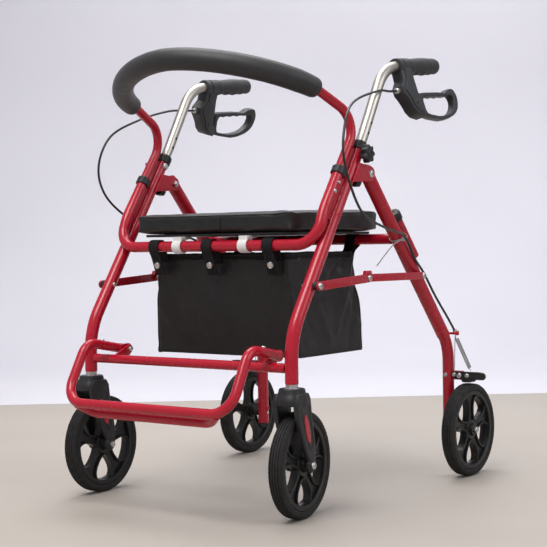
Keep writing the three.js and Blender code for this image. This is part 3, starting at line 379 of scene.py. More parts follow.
class Build:
    """Collects shells in millimetres and turns them into one object."""

    def __init__(self, name, side=1):
        self.name = name
        self.side = side
        self.vertices = []
        self.faces = []
        self.keys = []
        self.slots = []

    def shell(self, vertices, faces, key):
        base = len(self.vertices)
        self.vertices.extend(tuple(v) for v in vertices)
        self.faces.extend([base + i for i in face] for face in faces)
        if key not in self.slots:
            self.slots.append(key)
        self.keys.extend([self.slots.index(key)] * len(faces))
        return self

    def sweep(self, points, radius, key, sides=28, section=None, closed=False, up=None):
        """A tube along points; radius is a number or a function of the place 0..1.
        section is a list of (a, b) factors of the radius across the path."""
        points = [Vector(p) for p in points]
        n = len(points)
        section = section or circle(0, 0, 1, sides)
        tangents = []
        for i in range(n):
            before = points[i - 1] if closed or i else points[i]
            after = points[(i + 1) % n] if closed or i < n - 1 else points[i]
            tangents.append((after - before).normalized())
        if up is None:
            up = V(0, 0, 1) if abs(tangents[0].z) < 0.9 else V(1, 0, 0)
        side = tangents[0].cross(up).normalized()
        vertices = []
        for i, (point, tangent) in enumerate(zip(points, tangents)):
            side = (side - tangent * side.dot(tangent)).normalized()
            over = side.cross(tangent)
            r = radius(i / (n - 1)) if callable(radius) else radius
            for a, b in section:
                vertices.append(point + side * (a * r) + over * (b * r))
        m = len(section)
        faces = []
        for i in range(n if closed else n - 1):
            j = (i + 1) % n
            for k in range(m):
                l = (k + 1) % m
                faces.append([i * m + k, i * m + l, j * m + l, j * m + k])
        if not closed:
            faces.append(list(range(m))[::-1])
            faces.append([(n - 1) * m + k for k in range(m)])
        return self.shell(vertices, faces, key)

    def rod(self, start, end, radius, key, sides=24, edge=0.8):
        """A straight round bar with slightly eased ends."""
        start, end = Vector(start), Vector(end)
        length = (end - start).length
        edge = min(edge, radius * 0.5, length * 0.4)
        profile = [(0, 0), (0, radius - edge), (edge, radius)]
        profile += [(length - edge, radius), (length, radius - edge), (length, 0)]
        return self.lathe(profile, start, end - start, key, sides)

    def lathe(self, profile, origin, axis, key, sides=36, flatten=None):
        """profile is (along, radius) from the axis back to the axis, or a closed ring."""
        origin, axis = Vector(origin), Vector(axis).normalized()
        helper = V(0, 0, 1) if abs(axis.z) < 0.9 else V(0, 1, 0)
        a = axis.cross(helper).normalized()
        b = a.cross(axis)
        vertices, rows = [], []
        for along, r in profile:
            if r < 1e-6:
                rows.append([len(vertices)] * sides)
                vertices.append(origin + axis * along)
                continue
            rows.append(list(range(len(vertices), len(vertices) + sides)))
            for k in range(sides):
                angle = 2 * math.pi * k / sides
                ca, cb = math.cos(angle) * r, math.sin(angle) * r
                if flatten:
                    ca, cb = flatten(ca, cb, along)
                vertices.append(origin + axis * along + a * ca + b * cb)
        faces = []
        for row, nxt in zip(rows, rows[1:]):
            for k in range(sides):
                l = (k + 1) % sides
                face = [row[k], row[l], nxt[l], nxt[k]]
                face = list(dict.fromkeys(face))
                if len(face) > 2:
                    faces.append(face)
        return self.shell(vertices, faces, key)

    def ring(self, profile, origin, axis, key, sides=36):
        return self.lathe(profile + [profile[0]], origin, axis, key, sides)

    def plate(self, outline, low, high, key, holes=(), bevel=1.0, place=None, resolution=2):
        """A flat piece with rounded edges. The outline is (y, z) and it reaches from
        x = low to x = high, unless place maps (u, v, w) to somewhere else."""
        curve = bpy.data.curves.new("plate", "CURVE")
        curve.dimensions = "2D"
        curve.fill_mode = "BOTH"
        curve.extrude = (high - low) / 2 - bevel
        curve.bevel_depth = bevel
        curve.bevel_resolution = resolution
        curve.offset = -bevel
        for line in (outline, *holes):
            spline = curve.splines.new("POLY")
            spline.points.add(len(line) - 1)
            for point, (u, v) in zip(spline.points, line):
                point.co = (u, v, 0, 1)
            spline.use_cyclic_u = True
        obj = bpy.data.objects.new("plate", curve)
        bpy.context.scene.collection.objects.link(obj)
        mesh = bpy.data.meshes.new_from_object(
            obj.evaluated_get(bpy.context.evaluated_depsgraph_get())
        )
        middle = (low + high) / 2
        place = place or (lambda u, v, w: V(w, u, v))
        vertices = [place(p.co.x, p.co.y, p.co.z + middle) for p in mesh.vertices]
        self.shell(vertices, [list(p.vertices) for p in mesh.polygons], key)
        bpy.data.objects.remove(obj)
        bpy.data.curves.remove(curve)
        bpy.data.meshes.remove(mesh)
        return self

    def bolt(self, place, axis, radius=6.0, height=3.5, key="zinc", socket=True):
        """A domed bolt head that stands along axis, with a round recess when socket is set."""
        profile = [(-1, 0), (-1, radius), (0.8, radius)]
        for angle in (25, 50, 70):
            profile.append(
                (0.8 + (height - 0.8) * math.sin(rad(angle)), radius * math.cos(rad(angle)) ** 0.5)
            )
        recess = radius * 0.42
        if socket:
            profile += [(height, recess), (height - 1.6, recess * 0.95), (height - 1.6, 0)]
        else:
            profile += [(height, 0)]
        return self.lathe(profile, place, axis, key, 24)

    def nut(self, place, axis, radius=6.5, height=5.0, key="zinc"):
        """A hexagon nut with a rounded locking collar."""
        axis = Vector(axis).normalized()
        self.lathe([(0, 0), (0, radius), (height - 0.8, radius), (height, radius * 0.86),
                    (height, 0)], place, axis, key, 6)
        top = Vector(place) + axis * (height - 0.2)
        return self.lathe([(0, radius * 0.72), (1.6, radius * 0.68), (2.2, radius * 0.5), (2.2, 0)],
                          top, axis, key, 20)

    def done(self, body, *nodes, sharp=32, slot=None):
        """Makes the object, on its body and in place of the CAD nodes."""
        mesh = bpy.data.meshes.new(self.name)
        scale = np.array([self.side, 1, 1]) / 1000
        points = (np.array([tuple(v) for v in self.vertices]) + [0, SHIFT, 0]) * scale
        mesh.from_pydata(points.tolist(), [], self.faces)
        for key in self.slots:
            mesh.materials.append(MATERIALS[key])
        mesh.polygons.foreach_set("material_index", self.keys)
        work = bmesh.new()
        work.from_mesh(mesh)
        bmesh.ops.remove_doubles(work, verts=work.verts, dist=WELD)
        bmesh.ops.dissolve_degenerate(work, edges=work.edges, dist=WELD)
        bmesh.ops.recalc_face_normals(work, faces=work.faces)
        work.to_mesh(mesh)
        work.free()
        mesh.polygons.foreach_set("use_smooth", [True] * len(mesh.polygons))
        mesh.set_sharp_from_angle(angle=rad(sharp))
        obj = bpy.data.objects.new(self.name, mesh)
        bpy.context.scene.collection.objects.link(obj)
        if body:
            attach(obj, body)
        if nodes:
            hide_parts(*nodes)
        return obj


# ---------------------------------------------------------------- dimensions shared with the CAD
TRACK = 256
LEG_R = 12.7
LEAN = 33.6
STEM_Y = -66
LEG_TAN = math.tan(rad(LEAN))
LEG_DIR = V(0, math.sin(rad(LEAN)), math.cos(rad(LEAN)))


def leg_y(z):
    return STEM_Y + (z - 340) * LEG_TAN


REAR_LEAN = 41.5
REAR_TOP_Y, REAR_TOP_Z = 227.3, 614.4
REAR_TAN = math.tan(rad(REAR_LEAN))
REAR_DIR = V(0, math.sin(rad(REAR_LEAN)), -math.cos(rad(REAR_LEAN)))
REAR_OUT = V(0, math.cos(rad(REAR_LEAN)), math.sin(rad(REAR_LEAN)))


def rear_y(z):
    return REAR_TOP_Y + (REAR_TOP_Z - z) * REAR_TAN


HINGE_Y, HINGE_Z = 187, 646
GRIP_RISE = 6
GRIP_Y, GRIP_Z = 326, 872
HANDLE_LEAN = 29.5
BRAKE_TILT = 15.6
KNOB_Z = 684
REAR_RAIL_Z = 516.8
AXLE_Z = 100
REAR_WHEEL_X, REAR_LEG_Y, REAR_AXLE_Y = 303, 521, 523
CASTER_TRAIL = 27
FOOT_PIVOT = (-22, 299)
LEG_TOP = V(TRACK, leg_y(700), 700)
GRIP_DIR = V(0, math.cos(rad(GRIP_RISE)), math.sin(rad(GRIP_RISE)))
CLAMP = V(TRACK, GRIP_Y, GRIP_Z)
CLAMP_FRAME = (
    Matrix.Translation(CLAMP)
    @ Matrix.Rotation(rad(GRIP_RISE), 4, "X")
    @ Matrix.Rotation(-rad(BRAKE_TILT), 4, "Y")
)
SPARE_MOUTH = V(TRACK, rear_y(548), 548) + REAR_OUT * 24.5
STAY_FRONT = (leg_y(430.5), 430.5)
STAY_REAR = (rear_y(438.8), 438.8)
STAY_MID = (165, 440.5)
RAIL_HALF = [V(254, 102, 650), V(254, 48, 572), V(254, 22, 508)]
SOCKET_DIR = (RAIL_HALF[0] - RAIL_HALF[1]).normalized()


def flip(point):
    return V(-point[0], point[1], point[2])


def clamp_point(across, along, down):
    return CLAMP_FRAME @ V(across, along, -down)


# ---------------------------------------------------------------- front frame
def front_leg(name, side):
    b = Build(f"leg_front_{name}", side)
    path = bent([V(TRACK, STEM_Y, 253), V(TRACK, STEM_Y, 340), LEG_TOP], [150])
    b.sweep(path, LEG_R, "red", 36)
    # hinge bracket: two cheeks round the rear leg's top, and their back
    for low, high in ((-18.1, -15.1), (15.1, 18.1)):
        outline = [
            (leg_y(628) - 4, 628),
            *arc(HINGE_Y, HINGE_Z, 15, -78, 84, 10),
            (HINGE_Y - 18, 664),
            (leg_y(664) - 2, 666),
        ]
        b.plate(outline, TRACK + low, TRACK + high, "red", bevel=0.9)
    b.plate(
        [(leg_y(630), 630), (leg_y(630) + 16, 634), (leg_y(664) + 12, 665), (leg_y(664), 665)],
        TRACK - 17, TRACK + 17, "red", bevel=1.5,
    )
    b.bolt(V(TRACK + 18, HINGE_Y, HINGE_Z), (1, 0, 0), 7.5, 4.5)
    b.nut(V(TRACK - 18, HINGE_Y, HINGE_Z), (-1, 0, 0), 7)
    # small black plastic insert inside the bracket; it also stands in for the painted shade between the leg
    # and the bracket
    b.plate(
        [(150, 622), (163, 620), (170, 628), (166, 638), (154, 636)],
        TRACK - 8, TRACK + 8, "plastic", bevel=2,
    )
    # weld web to the seat rail
    b.plate(
        [(leg_y(556) - 30, 560), (leg_y(556), 550), (leg_y(634), 634), (leg_y(634) - 26, 634)],
        TRACK - 3, TRACK + 3, "red", bevel=0.8,
    )
    # front pivot of the stay
    spacer = [(0, 0), (0, 8), (8, 8), (8.6, 7.2), (8.6, 0)]
    b.lathe(spacer, V(TRACK + LEG_R - 0.4, *STAY_FRONT), (1, 0, 0), "plastic", 28)
    b.bolt(V(281.9, *STAY_FRONT), (1, 0, 0), 6.5, 3.6)
    b.bolt(V(TRACK - LEG_R, *STAY_FRONT), (-1, 0, 0), 4.5, 2.8)
    # head of the carriage bolt inside, opposite the knob
    b.bolt(V(TRACK - LEG_R + 0.4, leg_y(KNOB_Z), KNOB_Z), (-1, 0, 0), 8, 3.2, socket=False)
    return b.done("front_frame", f"front_leg_{name}")


def leg_collar(name, side):
    b = Build(f"leg_collar_{name}", side)
    ribs = [(-11, 12.9), (-11, 15.2)]
    for k in range(4):
        s = -9.5 + k * 3.6
        ribs += [(s, 15.9), (s + 1.8, 15.9), (s + 2.2, 15.3), (s + 3.2, 15.3)]
    ribs += [(6, 15.6), (7.5, 14.2), (7.5, 11.4)]
    b.ring(ribs, LEG_TOP, LEG_DIR, "plastic", 40)
    return b.done("front_frame", f"handle_collar_{name}")


def socket_collar(name, side):
    b = Build(f"socket_collar_{name}", side)
    profile = [(-10, 11.2), (-10, 13.4), (-9, 14.2), (5, 14.2), (6.8, 12.6), (6.8, 9.3)]
    b.ring(profile, RAIL_HALF[0], SOCKET_DIR, "plastic", 36)
    return b.done("front_frame", f"backrest_collar_{name}")


def seat_rail():
    b = Build("rail_front")
    path = bent(RAIL_HALF + [flip(p) for p in reversed(RAIL_HALF)], [120, 46, 46, 120])
    b.sweep(path, 11, "red", 32)
    for side in (1, -1):
        b.bolt(V(side * 264.4, 74, 610), (side, 0, 0), 4, 2.2, "zinc", socket=False)
    return b.done("front_frame", "front_seat_rail")


def socket_button(name, side):
    b = Build(f"socket_button_{name}", side)
    place = RAIL_HALF[0] - SOCKET_DIR * 28
    profile = [(0, 0), (0, 3), (13.2, 3), (14.2, 2.2), (14.6, 1), (14.6, 0)]
    b.lathe(profile, V(254, place.y, place.z), (1, 0, 0), "zinc", 20)
    return b.done(f"backrest_button_{name}", f"backrest_button_{name}")


def crossbar():
    b = Build("cross_bar")
    b.rod((-243.4, STEM_Y, 281), (243.4, STEM_Y, 281), 9.2, "red", 28)
    for side in (1, -1):
        outline = [
            (STEM_Y - 4, 281), (STEM_Y + 6, 275), (-26, 283),
            *arc(*FOOT_PIVOT, 8.8, -50, 110, 10),
            (STEM_Y, 289),
        ]
        low, high = sorted((side * 187, side * 191))
        b.plate(outline, low, high, "red", bevel=0.8)
        b.bolt(V(side * 196.4, *FOOT_PIVOT), (side, 0, 0), 5.6, 3.4)
        b.nut(V(side * 187.2, *FOOT_PIVOT), (-side, 0, 0), 5.5, 4)
    return b.done("front_frame", "lower_crossbar")


# ---------------------------------------------------------------- backrest
BOW_END = V(234.5, 57.5, 806)


def bow_point(t):
    """t runs from -1, the right end, to 1, the left end."""
    angle = t * math.pi / 2
    depth = math.cos(angle) ** 1.156
    across = -BOW_END.x * math.copysign(abs(math.sin(angle)) ** 1.156, angle)
    return V(across, 57.5 - 165.8 * depth, 806 + 60.4 * depth**1.13)


def backrest():
    top = RAIL_HALF[0] + SOCKET_DIR * 124
    half = bent([RAIL_HALF[0] - SOCKET_DIR * 20, top, BOW_END], [48])
    bow = [bow_point(-1 + 2 * i / 80) for i in range(81)]
    padded = [bow_point(0.974 * (-1 + 2 * i / 80)) for i in range(81)]
    b = Build("backrest_tube")
    b.sweep(half + bow[1:-1] + [flip(p) for p in reversed(half)], 9.6, "red", 28)
    b.done("front_frame", "backrest_bar")

    f = Build("backrest_sleeve")

    def radius(s):
        edge = min(s, 1 - s) * 640
        swell = 0.25 * noise.noise(V(s * 9, 3.1, 0.7)) + 0.15 * noise.noise(V(s * 31, 1.1, 5.7))
        return 22 - 1.8 * max(0, 1 - edge / 60) - 1.2 * max(0, 1 - edge / 4) ** 2 + swell

    f.sweep(padded, radius, "foam", 48)
    # the cut ends show the bore
    for end, nxt in ((padded[0], padded[1]), (padded[-1], padded[-2])):
        f.ring([(-0.3, 9.8), (-0.3, 17.5), (0.6, 18.4), (1, 12)], end, nxt - end, "foam", 40)
    return f.done("front_frame", "backrest_foam")


# ---------------------------------------------------------------- handles
HANDLE_KINK = V(TRACK, leg_y(722), 722)


def handle_path():
    lean, rise = math.tan(rad(HANDLE_LEAN)), math.tan(rad(GRIP_RISE))
    reach = HANDLE_KINK.y - lean * HANDLE_KINK.z - GRIP_Y
    corner_z = (GRIP_Z + rise * reach) / (1 - rise * lean)
    corner = V(TRACK, HANDLE_KINK.y + lean * (corner_z - HANDLE_KINK.z), corner_z)
    start = LEG_TOP - LEG_DIR * 130
    end = CLAMP + GRIP_DIR * 144
    return bent([start, HANDLE_KINK, corner, end], [200, 88])


def handle(name, side):
    b = Build(f"handle_{name}", side)
    b.sweep(handle_path(), 11.2, "silver", 36)
    # adjustment holes on both sides: a silver lip round a flush black disc, which is painted shade for the
    # dark inside of the tube
    for k in range(1, 3):
        place = LEG_TOP + LEG_DIR * (8 + 24 * k)
        if place.z > HANDLE_KINK.z:
            rise = V(0, math.sin(rad(HANDLE_LEAN)), math.cos(rad(HANDLE_LEAN)))
            place = HANDLE_KINK + rise * ((place - HANDLE_KINK).length)
        for face in (1, -1):
            spot = place + V(face * 10.6, 0, 0)
            b.ring([(0, 2.9), (0, 3.6), (0.75, 3.5), (0.8, 2.9)], spot, (face, 0, 0), "silver", 20)
            b.lathe([(0.0, 0), (0.0, 3.0), (0.62, 3.0), (0.62, 0)], spot, (face, 0, 0), "plastic", 16)
    b.done(f"handle_{name}", f"handle_tube_{name}")

    g = Build(f"handgrip_{name}", side)
    length = 119
    start = CLAMP + GRIP_DIR * 33
    profile = [(0, 11.6), (0, 15.2), (1, 16.2), (3.4, 16.4), (4.4, 15.4), (6, 15.2), (9, 15.6)]
    steps = 72
    for i in range(1, steps):
        s = i / steps
        along = 9 + (length - 15) * s
        body = 15.4 + 1.5 * math.sin(math.pi * min(1, s * 1.05)) ** 2
        rib = 0.5 * max(0, math.sin(2 * math.pi * along / 6.2)) if 0.06 < s < 0.84 else 0
        flare = 0.9 * max(0, 1 - abs(s - 0.9) / 0.1)
        profile.append((along, body + rib + flare))
    profile += [(length - 3, 14.4), (length - 0.8, 13), (length, 11), (length + 0.2, 5), (length + 0.2, 0)]

    def ergonomic(a, c, along):
        finger = 1 + 0.05 * math.sin(2 * math.pi * along / 27)
        # b points up here: the palm side is flatter, the finger side waved
        return a * 0.97, c * (1.04 if c > 0 else 1.08 * finger)

    g.lathe(profile, start, GRIP_DIR, "grip", 48, ergonomic)
    g.done(f"handle_{name}", f"grip_{name}")

    def local(u, v, w):
        return CLAMP_FRAME @ V(w, u, v)

    h = Build(f"brake_body_{name}", side)
    for s, e in ((-12, 1), (4, 31.4)):
        h.ring(
            [(s, 11.4), (s, 16.6), (s + 1.2, 17.6), (e - 1.2, 17.6), (e, 16.4), (e, 11.4)],
            CLAMP, GRIP_DIR, "brake", 40,
        )
    h.ring([(0, 11.4), (0, 15.6), (5, 15.6), (5, 11.4)], CLAMP, GRIP_DIR, "brake", 40)
    body = [
        (-11, -6), (-14, -30), (-22, -38), (-30, -45), (-30, -60), (-22, -70), (-14, -82),
        (-8, -96), (4, -107), (28, -113), (32, -108), (31, -92), (23, -84), (23, -60),
        (24, -48), (20, -34), (22, -6),
    ]
    h.plate(body, -14, 14, "brake", bevel=2.4, place=local)
    panel = [
        (-2, 2), (26, 2), (21, -30), (21, -80), (24, -92), (24, -106), (8, -102), (-6, -88),
        (-9, -74), (-22, -54), (-21, -48), (-4, -32),
    ]
    for low, high in ((13, 16), (-16, -13)):
        h.plate(panel, low, high, "brake", bevel=1.2, place=local)
    for across, axis in ((15, 1), (-15, -1)):
        tilt = CLAMP_FRAME.to_3x3() @ V(axis, 0, 0)
        h.bolt(CLAMP_FRAME @ V(across, 5, -82), tilt, 5, 2.4, "brake")
    forward = CLAMP_FRAME.to_3x3() @ V(0, -1, 0)
    exit_point = clamp_point(0, -27, 52)
    h.lathe([(0, 0), (0, 5.6), (3, 5.6), (3.4, 4.8), (3.4, 0)], exit_point, forward, "brake", 24)
    knurl = [(3, 0), (3, 5)]
    for k in range(4):
        s = 3.8 + 1.8 * k
        knurl += [(s, 6.3), (s + 1, 6.3), (s + 1.3, 5.6), (s + 1.7, 5.6)]
    knurl += [(11.4, 4.6), (12.8, 3.4), (13, 0)]
    h.lathe(knurl, exit_point, forward, "zinc", 24)
    h.done(f"handle_{name}", f"brake_housing_{name}")

    l = Build(f"lever_{name}", side)
    outer = [
        (34, -66), (38, -61), (60, -60), (110, -60.5), (142, -62.5), (152, -59), (160, -55),
        (178, -54), (186, -57), (192, -68), (192, -78), (188, -90), (181, -100), (170, -108),
        (156, -114), (130, -120), (102, -121.5), (58, -115), (40, -110), (34, -102),
    ]
    inner = [
        (45, -80), (48, -72), (54, -68.5), (66, -70.5), (78, -68), (91, -70.5), (104, -68),
        (117, -70.5), (130, -68.5), (146, -70), (166, -68), (173, -72), (175, -79), (172, -88),
        (164, -97), (152, -104.5), (136, -110), (112, -113), (92, -113), (60, -108), (48, -104),
        (45, -96),
    ]
    l.plate(outer, -9, 9, "brake", holes=[inner], bevel=2.6, place=local, resolution=3)
    l.plate(
        [(40, -98), (40, -68), *arc(5, -82, 9, 80, 280, 12)], -5, 5, "brake",
        bevel=1.2, place=local,
    )
    l.done(f"brake_lever_{name}", f"brake_lever_{name}")

    k = Build(f"knob_{name}", side)
    centre = V(TRACK, leg_y(KNOB_Z), KNOB_Z)
    star = []
    for i in range(84):
        angle = 2 * math.pi * i / 84
        r = 16.4 + 2.2 * math.cos(7 * angle)
        star.append((centre.y + r * math.cos(angle), centre.z + r * math.sin(angle)))
    k.plate(star, TRACK + 19, TRACK + 33, "plastic", bevel=2.6, resolution=3)
    k.lathe([(13.4, 0), (13.4, 7.6), (18, 9.4), (20, 12), (20, 0)], centre, (1, 0, 0),
            "plastic", 32)
    cap = [(32, 0), (32, 8.5), (34, 8.2), (35, 6.8), (35, 4.4), (34, 4), (34, 0)]
    k.lathe(cap, centre, (1, 0, 0), "plastic", 32)
    k.done(f"height_knob_{name}", f"height_knob_{name}")


# ---------------------------------------------------------------- rear frame
def rear_leg(name, side):
    b = Build(f"leg_rear_{name}", side)
    top = V(TRACK, rear_y(HINGE_Z), HINGE_Z) - REAR_DIR * 16
    sleeve = V(TRACK, rear_y(306), 306)
    path = [top, top + REAR_DIR * 2] + [top + (sleeve - top) * (k / 6) for k in range(1, 7)]
    b.sweep(path, lambda s: 13.2 if s < 0.01 else 14.3, "red", 36)
    b.ring([(-2, 12.6), (-2, 14.3), (1.4, 13.9), (1.8, 12.6)], sleeve, REAR_DIR, "red", 36)
    bend_z = REAR_TOP_Z - (REAR_LEG_Y - REAR_TOP_Y) / REAR_TAN
    lower = bent([V(TRACK, rear_y(340), 340), V(TRACK, REAR_LEG_Y, bend_z), V(TRACK, REAR_LEG_Y, 76)], [90])
    b.sweep(lower, 12.7, "red", 36)
    b.lathe([(-0.5, 0), (-0.5, 12.9), (2.4, 12.9), (3.4, 11.4), (3.4, 0)], V(TRACK, 521, 76),
            (0, 0, -1), "plastic", 32)
    # crease and rivet where the sleeve ends
    b.bolt(V(TRACK + 13.9, rear_y(322), 322), (1, 0, 0), 4, 2, "red", socket=False)
    # spare socket
    mouth = SPARE_MOUTH
    b.sweep([mouth + REAR_DIR * s for s in (0, 30, 60, 90, 112)], 11, "red", 32)
    b.lathe([(-0.2, 0), (-0.2, 9.4), (0.1, 9.4), (0.1, 0)], mouth + REAR_DIR * 112.3, REAR_DIR,
            "plastic", 24)
    for s in (22, 56, 90):
        weld = mouth + REAR_DIR * s - REAR_OUT * 11.8
        b.sweep([weld - REAR_DIR * 9, weld, weld + REAR_DIR * 9], lambda t: 2.4 + 2 * math.sin(math.pi * t),
                "red", 16)
    hole = mouth + REAR_DIR * 34
    b.ring([(10.2, 3), (10.2, 3.9), (11.1, 3.8), (11.2, 3)], hole, (1, 0, 0), "red", 20)
    # the black disc in the hole is painted shade for the dark inside of the socket
    b.lathe([(10.2, 0), (10.2, 3), (10.9, 3), (10.9, 0)], hole, (1, 0, 0), "plastic", 16)
    # stay pivot
    b.bolt(V(277.4, *STAY_REAR), (1, 0, 0), 6.5, 3.6)
    b.bolt(V(TRACK - 14.1, *STAY_REAR), (-1, 0, 0), 6, 3.2)
    # rail screws
    b.bolt(V(TRACK + 14, rear_y(REAR_RAIL_Z), REAR_RAIL_Z), (1, 0, 0), 5.4, 2.8)
    # plate and pin that carry the brake arm, and the cable's stop
    arm = [(TRACK + 6, 207), (294, 207), (294, 227), (TRACK + 6, 227)]
    b.plate(arm, 519.5, 523.5, "red", bevel=0.8, place=lambda u, v, w: V(u, w, v))
    b.bolt(V(287, 513, 217), (0, -1, 0), 6, 3.6)
    b.nut(V(287, 523.4, 217), (0, 1, 0), 6, 4)
    stop = [(TRACK + 6, 514), (276, 513), (279, 516), (279, 526), (276, 529), (TRACK + 6, 528)]
    b.plate(stop, 306, 311, "red", bevel=1, place=lambda u, v, w: V(u, v, w))
    b.rod((276, 520, 309), (281.5, 524, 309), 5, "red", 20)
    # inner wire from the stop to the arm's tail
    b.sweep([V(274, 521, 312), V(274, 518.5, 268), V(274, 516, 226)], 0.9, "zinc", 10)
    b.bolt(V(TRACK, 521 - 12.4, 218), (0, -1, 0), 4.4, 2.4)
    # axle ends in the leg
    b.bolt(V(TRACK - 12.6, 521, 112), (-1, 0, 0), 5, 3, "red")
    return b.done("rear_frame", f"rear_leg_{name}")


def spare_cap(name, side):
    b = Build(f"spare_cap_{name}", side)
    mouth = SPARE_MOUTH
    profile = [(-10, 11.2), (-10, 13)]
    for k in range(3):
        s = -8.5 + 4.6 * k
        profile += [(s, 13.6), (s + 2.4, 13.6), (s + 3, 12.8), (s + 4, 12.8)]
    profile += [(7, 13), (9.4, 11), (9.4, 4.4), (8.4, 4), (8.4, 0)]
    b.lathe(profile, mouth, -REAR_DIR, "plastic", 36)
    return b.done("rear_frame", f"spare_socket_cap_{name}")


def rear_rail():
    b = Build("rail_rear")
    y = rear_y(REAR_RAIL_Z)
    b.rod((-241.6, y, REAR_RAIL_Z), (241.6, y, REAR_RAIL_Z), 11, "red", 32)
    return b.done("rear_frame", "rear_seat_rail")


def stays(name, side):
    def link(piece, body, node, pivot, half, low, out):
        b = Build(piece, side)
        angle = math.degrees(math.atan2(STAY_MID[1] - pivot[1], STAY_MID[0] - pivot[0]))
        outline = [
            *arc(*STAY_MID, half, angle - 90, angle + 90, 12),
            *arc(*pivot, half, angle + 90, angle + 270, 12),
        ]
        b.plate(outline, low, low + 4, "red", holes=[circle(*pivot, 3.2, 20)], bevel=0.9)
        if out:
            b.bolt(V(low + 4, *STAY_MID), (1, 0, 0), 6.5, 3.6)
            tab = [(STAY_MID[0] - 13, 446), (STAY_MID[0] + 11, 446), (STAY_MID[0] + 7, 455),
                   (STAY_MID[0] - 9, 455)]
            b.plate(tab, low - 5, low + 4, "red", bevel=1)
        else:
            b.nut(V(low, *STAY_MID), (-1, 0, 0), 6, 3.6)
        b.done(body, node)

    link(f"stay_front_{name}", f"stay_front_{name}", f"stay_front_link_{name}", STAY_FRONT, 8.5,
         277.6, True)
    link(f"stay_rear_{name}", f"stay_rear_{name}", f"stay_rear_link_{name}", STAY_REAR, 7.8,
         273.3, False)


def brake_arm(name, side):
    b = Build(f"brake_bar_{name}", side)

    def across(u, v, w):
        return V(u, w, v)

    outline = [(271, 210), (300, 209), (334, 209), *arc(341, 217, 8.5, -70, 70, 8), (334, 226),
               (300, 226), (271, 225)]
    b.plate(outline, 513, 519, "plastic", bevel=1.4, place=across)
    shoe = [(296, 203.2), (314, 203.2), (316, 207), (316, 212), (294, 212), (294, 207)]
    b.plate(shoe, 509, 537, "tyre", bevel=1, place=across)
    b.bolt(V(274.5, 512.8, 219), (0, -1, 0), 4.6, 3)
    b.bolt(V(306, 512.8, 217), (0, -1, 0), 5.2, 3)
    b.done(f"brake_arm_{name}", f"brake_arm_{name}")

    c = Build(f"brake_coil_{name}", side)
    low, high = V(314, 516, 229), V(276, 519, 303)
    axis = (high - low).normalized()
    a = axis.cross(V(0, 1, 0)).normalized()
    d = a.cross(axis)
    turns, points = 26, []
    length = (high - low).length
    for i in range(turns * 12 + 1):
        t = i / (turns * 12)
        angle = 2 * math.pi * turns * t
        along = 7 + (length - 14) * t
        points.append(low + axis * along + (a * math.cos(angle) + d * math.sin(angle)) * 3.4)
    c.sweep(points, 1.15, "spring", 8)
    for end, sign in ((low, 1), (high, -1)):
        hook = [end + axis * (sign * 7) + a * 3.4, end + axis * (sign * 4) + a * 1.2,
                end + axis * (sign * 1), end - axis * (sign * 0.5)]
        c.sweep(smooth(hook, 5), 0.85, "spring", 8)
    c.done("rear_frame", f"brake_spring_{name}")


# ---------------------------------------------------------------- wheels and casters
def tyre_profile():
    """(across, radius) with four shallow grooves round the tread."""
    half = 14
    profile = [(-11.5, 85.2), (-13, 86.4), (-half, 90), (-half, 93.4), (-13, 96.6), (-11.2, 98.8)]
    for groove in (-8.2, -2.8, 2.8, 8.2):
        crown = 100 - abs(groove) * 0.035
        profile += [(groove - 1.1, crown), (groove - 0.7, crown - 1.6), (groove + 0.7, crown - 1.6),
                    (groove + 1.1, crown)]
    profile += [(11.2, 98.8), (13, 96.6), (half, 93.4), (half, 90), (13, 86.4), (11.5, 85.2)]
    return profile


def wheel(prefix, name, side, centre, axis, body):
    """centre and axis are for the side's own frame, so a mirrored wheel is mirrored too."""
    axis = Vector(axis).normalized()
    t = Build(f"tyre_{prefix}_{name}", side)
    t.ring(tyre_profile(), centre, axis, "tyre", 96)
    # fine ribs across the shoulders
    up = V(0, 0, 1)
    ahead = up.cross(axis).normalized()
    for k in range(72):
        angle = 2 * math.pi * k / 72
        out = ahead * math.cos(angle) + up * math.sin(angle)
        for face in (1, -1):
            foot = Vector(centre) + axis * (face * 13.7) + out * 90
            tip = Vector(centre) + axis * (face * 11.9) + out * 98
            t.sweep([foot, tip], 0.75, "tyre", 6)
    t.done(body, f"{prefix}_tyre_{name}")

    r = Build(f"rim_{prefix}_{name}", side)
    profile = [(-11, 85.2), (-12.2, 84), (-12.2, 77), (-11, 75.4), (-4.5, 74.4), (-4, 73.6),
               (4, 73.6), (4.5, 74.4), (11, 75.4), (12.2, 77), (12.2, 84), (11, 85.2)]
    r.ring(profile, centre, axis, "rim", 80)
    hub = [(-15.4, 4.6), (-15.4, 12), (-14.6, 13), (-9, 14), (-8, 20), (-6, 22), (6, 22), (8, 20),
           (9, 14), (14.6, 13), (15.4, 12), (15.4, 4.6)]
    r.ring(hub, centre, axis, "rim", 48)
    turn = Matrix((ahead, up, axis)).transposed()
    for k in range(5):
        angle = rad(90 + 72 * k)
        spin = Matrix.Rotation(angle, 3, "Z")

        def place(u, v, w, spin=spin):
            return Vector(centre) + turn @ (spin @ V(u, v, w))

        edge_line = [(18, 14), (27, 10.5), (40, 9.2), (54, 10.6), (64, 15), (71, 23), (75.5, 33)]
        side_line = [tuple(p) for p in catmull(edge_line, 3)]
        spoke = [(u, -v) for u, v in side_line] + side_line[::-1]
        r.plate(spoke, -4.6, 4.6, "rim", bevel=1.2, place=place)
        for edge in (1, -1):
            line = [place(u, edge * (v - 1.8), 0) for u, v in side_line]
            box = [(0.23, 0.9), (0.12, 1), (-0.12, 1), (-0.23, 0.9),
                   (-0.23, -0.9), (-0.12, -1), (0.12, -1), (0.23, -0.9)]
            r.sweep(line, 8.8, "rim", section=box, up=axis)
    r.done(body, f"{prefix}_rim_{name}")


